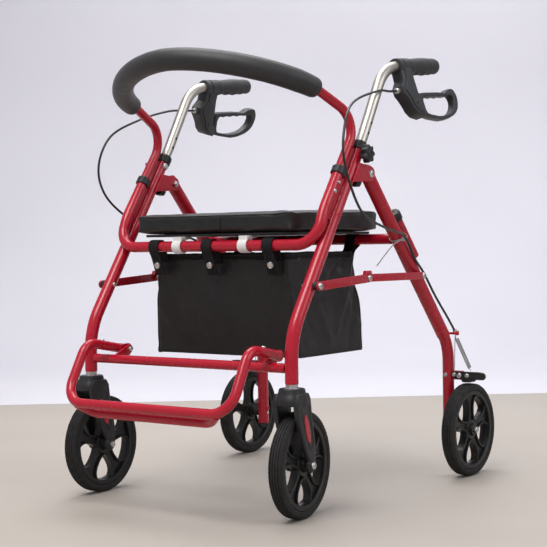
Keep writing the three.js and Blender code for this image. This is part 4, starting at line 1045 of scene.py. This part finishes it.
def caster(name, side):
    rest = rad(6.9 if side > 0 else -2.3)
    turn = Matrix.Translation(V(TRACK, STEM_Y, 0)) @ Matrix.Rotation(rest, 4, "Z")

    def at(x, y, z):
        return turn @ V(x, y, z)

    def local(u, v, w):
        return turn @ V(w, u, v)

    direction = turn.to_3x3() @ V(1, 0, 0)
    b = Build(f"fork_{name}", side)
    crown = [(0, 0), (0, 29), (1.2, 30.5), (6, 31), (12, 29.6), (18, 26.6), (23, 24), (25, 23.6),
             (26, 23.2), (29.6, 22.4), (31, 20.6), (31, 0)]

    def hood(across, along, height):
        return 27.4 * math.tanh(across / 27.4 * 1.12) / math.tanh(1.24), along

    b.lathe(crown, at(0, 0, 214), (0, 0, 1), "plastic", 56, hood)
    stem = [(0, 0), (0, 9.3), (0.5, 11.6), (7.4, 11.6), (7.7, 9.6), (30, 9.2), (30, 0)]
    b.lathe(stem, at(0, 0, 245), (0, 0, 1), "zinc", 32)
    b.lathe([(0, 0), (0, 14.5), (2, 14.2), (2.4, 0)], at(0, 0, 244.6), (0, 0, 1), "zinc", 32)
    arm = [
        (-20, 236), (-26, 226), (-28, 212), (-25, 196), (-17, 174), (-6, 150), (6, 126),
        *arc(CASTER_TRAIL, AXLE_Z, 14, 140, 350, 14),
        (42, 118), (41, 138), (35, 168), (29, 196), (27, 212), (25, 226), (18, 236),
    ]
    recess = [(-12, 214), (-12, 198), (-2, 172), (10, 148), (22, 130), (31, 136), (31, 152),
              (26, 176), (20, 200), (14, 214)]
    for face in (1, -1):
        low, high = sorted((face * 16.4, face * 26.8))
        b.plate(arm, low, high, "plastic", bevel=3.6, place=local, resolution=4)
        low, high = sorted((face * 26.0, face * 27.6))
        rim_line = [tuple(p) for p in catmull(recess, 4, True)]
        inner = [((u - 9) * 0.86 + 9, (v - 172) * 0.93 + 172) for u, v in rim_line]
        b.plate(rim_line, low, high, "plastic", holes=[inner], bevel=0.7, place=local)
        oval = [(8 + 8 * math.cos(t) - 8 * math.sin(t), 170 + 27 * math.sin(t))
                for t in (2 * math.pi * i / 40 for i in range(40))]
        low, high = sorted((face * 26.2, face * 28))
        b.plate(oval, low, high, "red", bevel=0.7, place=local)
        b.lathe([(0, 0), (0, 11), (1.6, 10.4), (2, 0)], at(face * 26.4, CASTER_TRAIL, AXLE_Z),
                direction * face, "plastic", 32)
    b.done(f"caster_{name}", f"caster_fork_{name}")

    a = Build(f"axle_front_{name}", side)
    a.rod(at(-27, CASTER_TRAIL, AXLE_Z), at(27, CASTER_TRAIL, AXLE_Z), 4, "zinc", 16)
    a.bolt(at(28.2, CASTER_TRAIL, AXLE_Z), direction, 7, 4.2)
    a.nut(at(-28.2, CASTER_TRAIL, AXLE_Z), -direction, 7, 5)
    a.done(f"caster_{name}", f"front_axle_{name}")
    wheel("front", name, side, at(0, CASTER_TRAIL, AXLE_Z), direction, f"front_wheel_{name}")


def rear_wheel(name, side):
    wheel("rear", name, side, V(REAR_WHEEL_X, REAR_AXLE_Y, AXLE_Z), (1, 0, 0), f"rear_wheel_{name}")
    a = Build(f"axle_rear_{name}", side)
    a.rod((243, REAR_AXLE_Y, AXLE_Z), (321, REAR_AXLE_Y, AXLE_Z), 4, "zinc", 16)
    a.lathe([(0, 0), (0, 8), (15, 8), (15.6, 7), (15.6, 0)], V(269.6, REAR_AXLE_Y, AXLE_Z),
            (1, 0, 0), "plastic", 28)
    a.nut(V(319, REAR_AXLE_Y, AXLE_Z), (1, 0, 0), 7.2, 5.2)
    a.done("rear_frame", f"rear_axle_{name}")


# ---------------------------------------------------------------- footrest
def footrest():
    half = [V(204, -38, 301), V(206, -128, 319), V(208, -190, 205)]
    path = bent(half + [flip(p) for p in reversed(half)], [34, 46, 46, 34])
    b = Build("footrest_hoop")
    b.sweep(path, 9.8, "red", 28)
    brace = bent(
        [V(176, -189, 204), V(146, -169, 185), V(-146, -169, 185), V(-176, -189, 204)], [34, 34]
    )
    b.sweep(brace, 9, "red", 28)
    for side in (1, -1):
        # the arm's end is flattened into a disc on the lug
        low, high = sorted((side * 191.3, side * 196.3))
        ear = [*arc(*FOOT_PIVOT, 11.4, -110, 100, 16), (-34, 310), (-46, 308), (-46, 291), (-34, 288)]
        b.plate(ear, low, high, "red", bevel=1)
        b.lathe([(0, 6.4), (0, 11.2), (1.4, 11.2), (2, 10.2), (2, 7.2)], V(side * 196.2, *FOOT_PIVOT),
                (side, 0, 0), "red", 32)
        neck, widths = [], []
        for k in range(9):
            t = k / 8
            ease = t * t * (3 - 2 * t)
            neck.append((side * (194 + 10 * ease), -28 - 16 * t, 299.6 + 2.4 * t))
            widths.append(2.6 + 7.2 * ease)
        rows = []
        for (x, y, z), w in zip(neck, widths):
            rows.append([V(x + w * math.cos(a), y, z + 9.8 * math.sin(a))
                         for a in (2 * math.pi * i / 28 for i in range(28))])
        faces = [[i * 28 + j, i * 28 + (j + 1) % 28, (i + 1) * 28 + (j + 1) % 28, (i + 1) * 28 + j]
                 for i in range(8) for j in range(28)]
        faces += [list(range(28))[::-1], [8 * 28 + j for j in range(28)]]
        b.shell([p for row in rows for p in row], faces, "red")
        b.bolt(V(side * 205.2, -84, 320), (0, 0.2, 1), 4.4, 2.6)
    return b.done("footrest", "footrest_frame")


# ---------------------------------------------------------------- seat
SEAT_X, SEAT_Y0, SEAT_Y1 = 201, 20, 329


def padded_block(name, low, high, crown):
    """A closed rounded block with a crowned top, made of a grid."""
    mesh = bmesh.new()
    bmesh.ops.create_cube(mesh, size=1)
    bmesh.ops.subdivide_edges(mesh, edges=mesh.edges, cuts=24, use_grid_fill=True)
    size = Vector(high) - Vector(low)
    middle = (Vector(high) + Vector(low)) / 2
    for v in mesh.verts:
        x, y, z = (c * 2 for c in v.co)
        corner = abs(x) ** 6 * abs(y) ** 6
        pull = 1 - 0.035 * corner
        sag = 1 - 0.012 * (1 - abs(z) ** 2)
        px = middle.x + x * size.x / 2 * pull * sag
        py = middle.y + y * size.y / 2 * pull * sag
        pz = middle.z + z * size.z / 2
        if z > 0:
            pz += crown * (1 - x * x) ** 0.6 * (1 - y * y) ** 0.6 * z + 6 * (y + 1) / 2 * z
        v.co = V(px, py + SHIFT, pz) / 1000
    data = bpy.data.meshes.new(name)
    mesh.to_mesh(data)
    mesh.free()
    obj = bpy.data.objects.new(name, data)
    bpy.context.scene.collection.objects.link(obj)
    return obj


def inflate(obj, voxel, pressure, cap, frames=20):
    """Cloth under pressure, run to its end and applied, with each point's move capped."""
    bpy.context.view_layer.objects.active = obj
    remesh = obj.modifiers.new("remesh", "REMESH")
    remesh.mode = "VOXEL"
    remesh.voxel_size = voxel
    bake_modifiers(obj)
    rest = np.array([v.co for v in obj.data.vertices], float)
    cloth = obj.modifiers.new("cloth", "CLOTH")
    settings = cloth.settings
    settings.use_pressure = True
    settings.uniform_pressure_force = pressure
    settings.effector_weights.gravity = 0
    settings.quality = 6
    settings.tension_stiffness = 25
    settings.compression_stiffness = 12
    settings.bending_stiffness = 0.6
    settings.mass = 0.25
    cloth.point_cache.frame_start = 1
    cloth.point_cache.frame_end = frames
    scene = bpy.context.scene
    for step in range(1, frames + 1):
        scene.frame_set(step)
    bake_modifiers(obj)
    scene.frame_set(1)
    moved = np.array([v.co for v in obj.data.vertices], float)
    delta = moved - rest
    length = np.linalg.norm(delta, axis=1, keepdims=True)
    delta *= np.minimum(1, cap / np.maximum(length, 1e-9))
    for v, place in zip(obj.data.vertices, rest + delta):
        v.co = place


def bake_modifiers(obj):
    depsgraph = bpy.context.evaluated_depsgraph_get()
    mesh = bpy.data.meshes.new_from_object(obj.evaluated_get(depsgraph))
    old = obj.data
    obj.modifiers.clear()
    obj.data = mesh
    bpy.data.meshes.remove(old)


def surface_line(tree, points, lift):
    """Points dropped to the nearest place on a surface, lifted off it a little."""
    line = []
    for point in points:
        place, normal, _, _ = tree.find_nearest(point)
        line.append(place + normal * lift)
    return line


def to_mm(point):
    return V(point.x * 1000, point.y * 1000 - SHIFT, point.z * 1000)


def seat():
    pad = padded_block("seat_cushion", (-SEAT_X, SEAT_Y0, 534), (SEAT_X, SEAT_Y1, 571), 3)
    inflate(pad, 0.006, 4.0, 0.006)
    # the cover's cut fixes its outline: the sides stand over the board's edge
    places = np.array([v.co for v in pad.data.vertices], float)
    low = np.array([-0.2042, (16.5 + SHIFT) / 1000, 0.5335])
    high = np.array([0.2042, (332 + SHIFT) / 1000, 0.5790])
    places = low + (places - places.min(0)) / np.ptp(places, axis=0) * (high - low)
    for v, place in zip(pad.data.vertices, places):
        v.co = place
    # wrinkles: shallow folds that run in from the corners and along the front
    for v in pad.data.vertices:
        x, y, z = to_mm(v.co)
        fx, fy = x / SEAT_X, (y - 174) / 155
        near_corner = max(0, abs(fx) - 0.55) * max(0, abs(fy) - 0.45) * 5
        across = x * 0.6 * math.copysign(1, fx) - y * 0.8 * math.copysign(1, fy)
        fold = (2.6 if x > 0 else 1.4) * near_corner * math.sin(across * 0.16 + 2 * noise.noise(v.co * 14))
        soft = 0.9 * noise.noise(v.co * 22)
        front = 0.8 * max(0, 1 - abs(y - SEAT_Y0) / 12) * math.sin(x * 0.11 + 3 * noise.noise(v.co * 9))
        if z > 545:
            v.co.z += (fold + soft) / 1000
        if y < 40:
            v.co.y -= front / 1000
    subdivide = pad.modifiers.new("smooth", "SUBSURF")
    subdivide.levels = subdivide.render_levels = 1
    bake_modifiers(pad)
    # keep the underside clear of the board
    for v in pad.data.vertices:
        v.co.z = max(v.co.z, 0.5333)
    pad.data.materials.append(MATERIALS["seat"])
    pad.data.polygons.foreach_set("use_smooth", [True] * len(pad.data.polygons))
    tree = BVHTree.FromObject(pad, bpy.context.evaluated_depsgraph_get())
    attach(pad, "seat")
    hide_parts("seat_pad")

    # piping along the upper edge, and a seam down the front face
    p = Build("seat_piping")
    loop = []
    x, y0, y1, r = SEAT_X + 2, SEAT_Y0 - 2, SEAT_Y1 + 2, 20
    corners = rounded_corners(x, y0, y1, r)
    for i, (cx, cy, start) in enumerate(corners):
        loop += arc(cx, cy, r, start, start + 90, 8)
        nx, ny, nstart = corners[(i + 1) % 4]
        ax, ay = loop[-1]
        bx, by = arc(nx, ny, r, nstart, nstart + 90, 8)[0]
        loop += [(ax + (bx - ax) * k / 24, ay + (by - ay) * k / 24) for k in range(1, 24)]
    line = [V(u / 1000, (v + SHIFT) / 1000, (571 + 6 * (v - 20) / 300) / 1000) for u, v in loop]
    on = [to_mm(q) for q in surface_line(tree, line, 0.0004)]
    for _ in range(2):
        on = [(on[i - 1] + on[i] * 2 + on[(i + 1) % len(on)]) / 4 for i in range(len(on))]
    p.sweep(on, 1.5, "seat", 10, closed=True)
    seam = [V(0.026, (10 + SHIFT) / 1000, (568 - 32 * k / 12) / 1000) for k in range(13)]
    p.sweep([to_mm(q) for q in surface_line(tree, seam, 0.0004)], 1.3, "seat", 8)
    p.done("seat", slot="seat_fabric")

    board = Build("seat_base")
    outline = []
    x, y0, y1, r = 193, 27, 321, 22
    for cx, cy, start in rounded_corners(x, y0, y1, r):
        outline += arc(cx, cy, r, start, start + 90, 8)
    board.plate(outline, 528, 533.2, "plastic", bevel=1.4, place=lambda u, v, w: V(u, v, w))
    board.done("seat", "seat_board")

    for name, side in SIDES:
        c = Build(f"clip_{name}", side)
        ring = circle(22, 508, 14.4, 40)
        c.plate(ring, 85 - 11, 85 + 11, "white", holes=[circle(22, 508, 11.4, 40)], bevel=1)
        neck = [(17, 519), (48, 524), (48, 527.8), (14, 527.8), (14, 519)]
        c.plate(neck, 85 - 11, 85 + 11, "white", bevel=1)
        c.done("seat", f"seat_clip_{name}")


# ---------------------------------------------------------------- basket
BASKET_LEVELS = (
    # z, half width, front y, rear y
    (288, 181, 64, 290),
    (292, 182.5, 62, 291),
    (330, 180, 58, 290),
    (380, 176, 54, 288),
    (430, 171, 50, 285),
    (470, 167, 47, 281),
    (490, 165, 46, 279),
)


# folds of the basket's walls: x or y and z of both ends, height and half width
FRONT_FOLDS = (
    (-170, 480, -70, 300, -2.0, 9), (-110, 484, -30, 310, 1.8, 10), (40, 480, 130, 300, -1.8, 11),
    (-176, 400, -100, 294, 2.2, 8), (168, 470, 100, 330, 2.0, 9), (-10, 470, -60, 360, -1.6, 10),
    (-170, 330, 170, 312, 1.4, 9),
)
SIDE_FOLDS = (
    (276, 482, 196, 330, 5.0, 7), (262, 484, 110, 392, -4.6, 8), (284, 430, 236, 296, -4.4, 8),
    (90, 478, 176, 300, 4.4, 9), (60, 420, 130, 296, -3.6, 8), (230, 470, 250, 380, 3.8, 6),
    (150, 470, 280, 340, 3.4, 7),
)


def folds(table, s, z):
    total = 0
    for s0, z0, s1, z1, height, width in table:
        ds, dz = s1 - s0, z1 - z0
        t = ((s - s0) * ds + (z - z0) * dz) / (ds * ds + dz * dz)
        near = min(max(t, 0), 1)
        away = math.hypot(s - s0 - near * ds, z - z0 - near * dz)
        total += height * (1 - 0.5 * near) * math.exp(-((away / width) ** 2))
    return total


def basket():
    rows = []
    count = 230
    for z, half, front, rear in catmull(BASKET_LEVELS, 8):
        r = 7
        ring = []
        loop = []
        for cx, cy, start in rounded_corners(half, front, rear, r):
            loop += arc(cx, cy, r, start, start + 90, 6)
        loop.append(loop[0])
        lengths = [0]
        for a, b in zip(loop, loop[1:]):
            lengths.append(lengths[-1] + math.dist(a, b))
        for k in range(count):
            s = lengths[-1] * k / count
            i = max(j for j in range(len(lengths) - 1) if lengths[j] <= s)
            f = (s - lengths[i]) / max(lengths[i + 1] - lengths[i], 1e-9)
            u = loop[i][0] + (loop[i + 1][0] - loop[i][0]) * f
            v = loop[i][1] + (loop[i + 1][1] - loop[i][1]) * f
            # the walls belly out and crease a little
            cu, cv = u, v - 170
            length = math.hypot(cu, cv) or 1
            height = (z - 290) / 200
            belly = 2.2 * math.sin(math.pi * min(1, height * 1.1))
            crease = 3 * noise.noise(V(u * 0.012, v * 0.020, z * 0.012 + 4))
            if abs(cu) > half - 8:
                crease += folds(SIDE_FOLDS, v, z)
            elif abs(cv) > 60:
                crease += folds(FRONT_FOLDS, u, z)
            out = belly + crease * min(1, height * 4 + 0.3)
            # pinched lower left front corner
            pinch = max(0, 1 - math.dist((u, v, z), (-182, 60, 290)) / 12)
            ring.append(V(u + cu / length * out - pinch * 3, v + cv / length * out - pinch * 3,
                          z - pinch * 3 + (1.6 * noise.noise(V(u * 0.03, v * 0.03, 2)) if z > 470 else 0)))
        rows.append(ring)
    b = Build("basket_bag")
    vertices = [p for ring in rows for p in ring]
    faces = []
    n = len(rows)
    for i in range(n - 1):
        for k in range(count):
            l = (k + 1) % count
            faces.append([i * count + k, i * count + l, (i + 1) * count + l, (i + 1) * count + k])
    # bottom: shrinking rings that sag
    base = rows[0]
    centre = sum(base, V(0, 0, 0)) / count
    previous = list(range(count))
    for step in range(1, 9):
        f = 1 - step / 9
        start = len(vertices)
        for p in base:
            q = centre + (p - centre) * f
            q.z = 290 - 2.5 * (1 - f * f) + 1.2 * noise.noise(V(q.x * 0.02, q.y * 0.02, 1))
            vertices.append(q)
        current = list(range(start, start + count))
        for k in range(count):
            l = (k + 1) % count
            faces.append([current[k], current[l], previous[l], previous[k]])
        previous = current
    faces.append(previous)
    b.shell(vertices, faces, "basket")
    bag = b.done(None)
    for v in bag.data.vertices:
        v.co.z = max(v.co.z, 0.286)
    solid = bag.modifiers.new("thickness", "SOLIDIFY")
    solid.thickness = 0.0024
    solid.offset = -1
    bake_modifiers(bag)
    top = rows[-1]
    trim = Build("basket_trim")
    tape = [(0.4, 1), (-0.4, 1), (-0.4, -1), (0.4, -1)]
    trim.sweep([p + V(0, 0, -4) for p in top], 6.5, "webbing", section=tape, closed=True, up=V(0, 0, 1))
    for drop in (1.0, 10.0):
        line = []
        for p in top:
            out = V(p.x, p.y - 165, 0).normalized()
            line.append(p + out * 2.9 + V(0, 0, -drop))
        trim.sweep(line, 0.55, "stitch", 6, closed=True)
    # corner and bottom seams
    corners = (1, 1 + round(count * 0.294), 1 + round(count * 0.5), 1 + round(count * 0.794))
    for index in corners:
        line = [ring[index] + V(ring[index].x, ring[index].y - 165, 0).normalized() * 0.6 for ring in rows]
        trim.sweep(line, 1.3, "basket", 8)
    bottom = [p + V(p.x, p.y - 165, 0).normalized() * 0.8 for p in rows[5]]
    trim.sweep(bottom, 1.4, "basket", 8, closed=True)
    edge = trim.done(None, sharp=40)
    return bag, edge


def straps():
    """Webbing loops from the basket's rim round the rails, with snaps in front."""
    rail_y = rear_y(REAR_RAIL_Z)
    for index, x in enumerate((-146, -6, 146)):
        s = Build(f"strap_front_{index + 1}")
        line = [V(x, 50, 472), V(x, 43, 484), V(x, 36.5, 497), V(x, 35.2, 508), V(x, 30, 518.5),
                V(x, 22, 521.6), V(x, 13, 518.5), V(x, 8.8, 508), V(x, 11, 498), V(x, 17, 488),
                V(x, 22, 476), V(x, 27, 462), V(x, 33, 450)]
        flat = [(1, 0.09), (-1, 0.09), (-1, -0.09), (1, -0.09)]
        s.sweep(smooth(line, 5), 12.5, "webbing", section=flat, up=V(0, -0.35, 1))
        z = 470
        s.bolt(V(x, 22.4, z), (0, -1, -0.35), 7, 3.2, socket=False)
        collar = [(0.2, 4), (0.2, 6.8), (1.6, 6.2), (1.6, 4.4)]
        s.ring(collar, V(x, 20.6, z - 1), (0, -1, -0.35), "zinc", 24)
        for dx in (-10, 10):
            s.sweep([V(x + dx, 9.6 + 13 * k, 503 - 32 * k) for k in (0, 0.5, 1)], 0.5, "stitch", 6)
        s.done("front_frame", slot="basket_fabric")
    for name, side in SIDES:
        r = Build(f"strap_rear_{name}", side)
        line = [V(146, 283, 470), V(146, 287, 484), V(146, 297, 497), V(146, 301, 509),
                V(146, 303.5, 520), V(146, rail_y - 2, 529), V(146, rail_y + 8, 528),
                V(146, rail_y + 12.6, 518),
                V(146, rail_y + 9, 506), V(146, 303, 494), V(146, 296, 480), V(146, 292, 468)]
        r.sweep(smooth(line, 5), 12.5, "webbing", section=[
            (1, 0.08), (-1, 0.08), (-1, -0.08), (1, -0.08)], up=V(0, 0.3, 1))
        r.done("rear_frame", slot="basket_fabric")


# ---------------------------------------------------------------- cables
CABLE_UPPER = [
    clamp_point(0, -40, 52), clamp_point(0, -66, 52), V(277, 213, 811), V(283, 121, 785),
    V(305, 54, 746), V(315, 27, 679),
]
CABLE_MIDDLE = [V(315, 27, 679), V(315, 51, 616), V(300, 119, 564), V(291, 210, 539), V(279, 303, 521)]
CABLE_LOWER = [V(279, 303, 521), V(273.6, 352, 476), V(270.8, 394, 444), V(272, 440, 393),
               V(273.6, 494, 340), V(274, 519, 314)]


def cables(name, side):
    steps = 14
    line = smooth(CABLE_UPPER + CABLE_MIDDLE[1:] + CABLE_LOWER[1:], steps)
    first = (len(CABLE_UPPER) - 1) * steps
    second = first + (len(CABLE_MIDDLE) - 1) * steps

    def row(point):
        return (side * point[0] / 1000, (point[1] + SHIFT) / 1000, point[2] / 1000)

    upper = Build(f"cable_lever_{name}", side)
    upper.sweep(line[: first + 1], 2.5, "jacket", 14)
    piece = upper.done(None, f"cable_upper_{name}")
    row(CABLE_UPPER[1])
    row(CABLE_UPPER[-1])
    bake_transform(piece)

    middle = Build(f"cable_loop_{name}", side)
    middle.sweep(line[first : second + 1], 2.5, "jacket", 14)
    piece = middle.done(None)
    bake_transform(piece)

    lower = Build(f"cable_leg_{name}", side)
    lower.sweep(line[second:], 2.5, "jacket", 14)
    end = V(274, 521, 311.4)
    lower.lathe([(0, 0), (0, 4.6), (5, 4.6), (7, 3.4), (7, 0)], end, (0, -0.3, 1), "zinc", 20)
    lower.done("rear_frame", f"cable_lower_{name}")

    tie = Build(f"cable_tie_{name}", side)
    centre = V(TRACK, rear_y(522), 522)
    ring = []
    for i in range(48):
        angle = 2 * math.pi * i / 48
        r = 15.2 + (11.5 if math.cos(angle) > 0 else 0) * max(0, math.cos(angle)) ** 6
        ring.append(centre + V(r * math.cos(angle), 0, 0) + REAR_OUT * (15.2 * math.sin(angle)))
    flat = [(0.35, 1), (-0.35, 1), (-0.35, -1), (0.35, -1)]
    tie.sweep(ring, 1.2, "clear", section=flat, closed=True, up=REAR_DIR)
    head = centre + V(20, 0, 0) - REAR_OUT * 9
    square = [(1, 1), (-1, 1), (-1, -1), (1, -1)]
    tie.sweep([head - V(3, 0, 0), head + V(2, 0, 0)], 2.4, "clear", section=square)
    tail = [head, V(279, 262, 506), V(272, 240, 486), V(262, 223, 463)]
    tie.sweep(smooth(tail, 6), 1.2, "clear", section=flat)
    tie.done("rear_frame", slot="white_plastic", sharp=40)


# ---------------------------------------------------------------- assembly
SIDE_PARTS = (front_leg, leg_collar, socket_collar, socket_button, handle, rear_leg, spare_cap, stays,
              brake_arm, caster, rear_wheel, cables)
for side_name, side_sign in SIDES:
    for make in SIDE_PARTS:
        make(side_name, side_sign)
for make in (seat_rail, crossbar, backrest, rear_rail, footrest, seat, straps):
    make()
bag, trim = basket()
for piece in (bag, trim):
    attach(piece, "front_frame")
    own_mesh(piece)
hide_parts("basket")


# ---------------------------------------------------------------- stage and light
def stage_sheet(name, rows, low, high, roughness):
    """A sheet through rows of two points each, shown but not part of the object."""
    mesh = bpy.data.meshes.new(name)
    corners = [point for row in rows for point in row]
    faces = [(2 * i, 2 * i + 1, 2 * i + 3, 2 * i + 2) for i in range(len(rows) - 1)]
    mesh.from_pydata(corners, [], faces)
    mesh.polygons.foreach_set("use_smooth", [True] * len(faces))
    obj = bpy.data.objects.new(name, mesh)
    nodes = Nodes(name, high, roughness)
    nodes.color(nodes.noise(1.4, 3), low, high)
    nodes.bump(nodes.noise(120, 3), 0.03, 0.0005)
    mesh.materials.append(nodes.material)
    bpy.context.scene.collection.objects.link(obj)


def area_light(name, place, target, size, power, color):
    data = bpy.data.lights.new(name, "AREA")
    data.shape = "DISK"
    data.size = size
    data.energy = power
    data.color = color
    obj = bpy.data.objects.new(name, data)
    obj.location = place
    obj.rotation_euler = (Vector(target) - Vector(place)).to_track_quat("-Z", "Y").to_euler()
    bpy.context.scene.collection.objects.link(obj)


stage_sheet(
    "floor", [((-12, -12, 0), (12, -12, 0)), ((-12, 12, 0), (12, 12, 0))],
    (0.385, 0.348, 0.308), (0.43, 0.39, 0.347), 0.6,
)
# the pale backdrop lies on the floor behind the walker, then curves up into a wall
ground = Vector((CAMERA_AHEAD.x, CAMERA_AHEAD.y, 0)).normalized()
across = Matrix.Rotation(math.radians(3), 3, "Z") @ Vector((ground.y, -ground.x, 0))
behind = Vector((across.y, -across.x, 0)) * -1
edge = Vector((CAMERA_PLACE[0], CAMERA_PLACE[1], 0)) + ground * 4.25
COVE, LAID, WALL_TOP = 1.4, 1.0, 7
SHEET_LIFT = 0.0004
profile = [(0, SHEET_LIFT), (0.5, SHEET_LIFT), (LAID, SHEET_LIFT)]
for step in range(1, 13):
    turn = math.pi / 2 * step / 12
    profile.append((LAID + COVE * math.sin(turn), SHEET_LIFT + COVE * (1 - math.cos(turn))))
profile.append((LAID + COVE, WALL_TOP))
backdrop = []
for away, height in profile:
    middle = edge + behind * away + Vector((0, 0, height))
    backdrop.append((tuple(middle - across * 9), tuple(middle + across * 9)))
stage_sheet("backdrop", backdrop, (0.61, 0.60, 0.65), (0.64, 0.63, 0.68), 0.9)
area_light("key", (0.2, -2.0, 3.2), (0, 0, 0.4), 2.0, 84, (1, 0.98, 0.96))
area_light("fill", (3.2, 0.6, 2.4), (0, 0, 0.4), 2.2, 30, (0.95, 0.97, 1))
area_light("top", (-0.8, 0.6, 3.4), (0, 0, 0.3), 2.2, 60, (1, 0.99, 0.98))
wash = edge + behind * 0.3 + across * 1.2 + Vector((0, 0, 3.6))
wash_target = edge + behind * 2.2 + across * 1.2 + Vector((0, 0, 0.9))
area_light("wash", wash, wash_target, 2.6, 60, (0.98, 0.98, 1))
world = bpy.data.worlds.new("studio")
world.use_nodes = True
world.node_tree.nodes["Background"].inputs["Color"].default_value = (0.93, 0.93, 0.96, 1)
world.node_tree.nodes["Background"].inputs["Strength"].default_value = 0.5
bpy.context.scene.world = world
bpy.context.scene.view_settings.view_transform = "Standard"
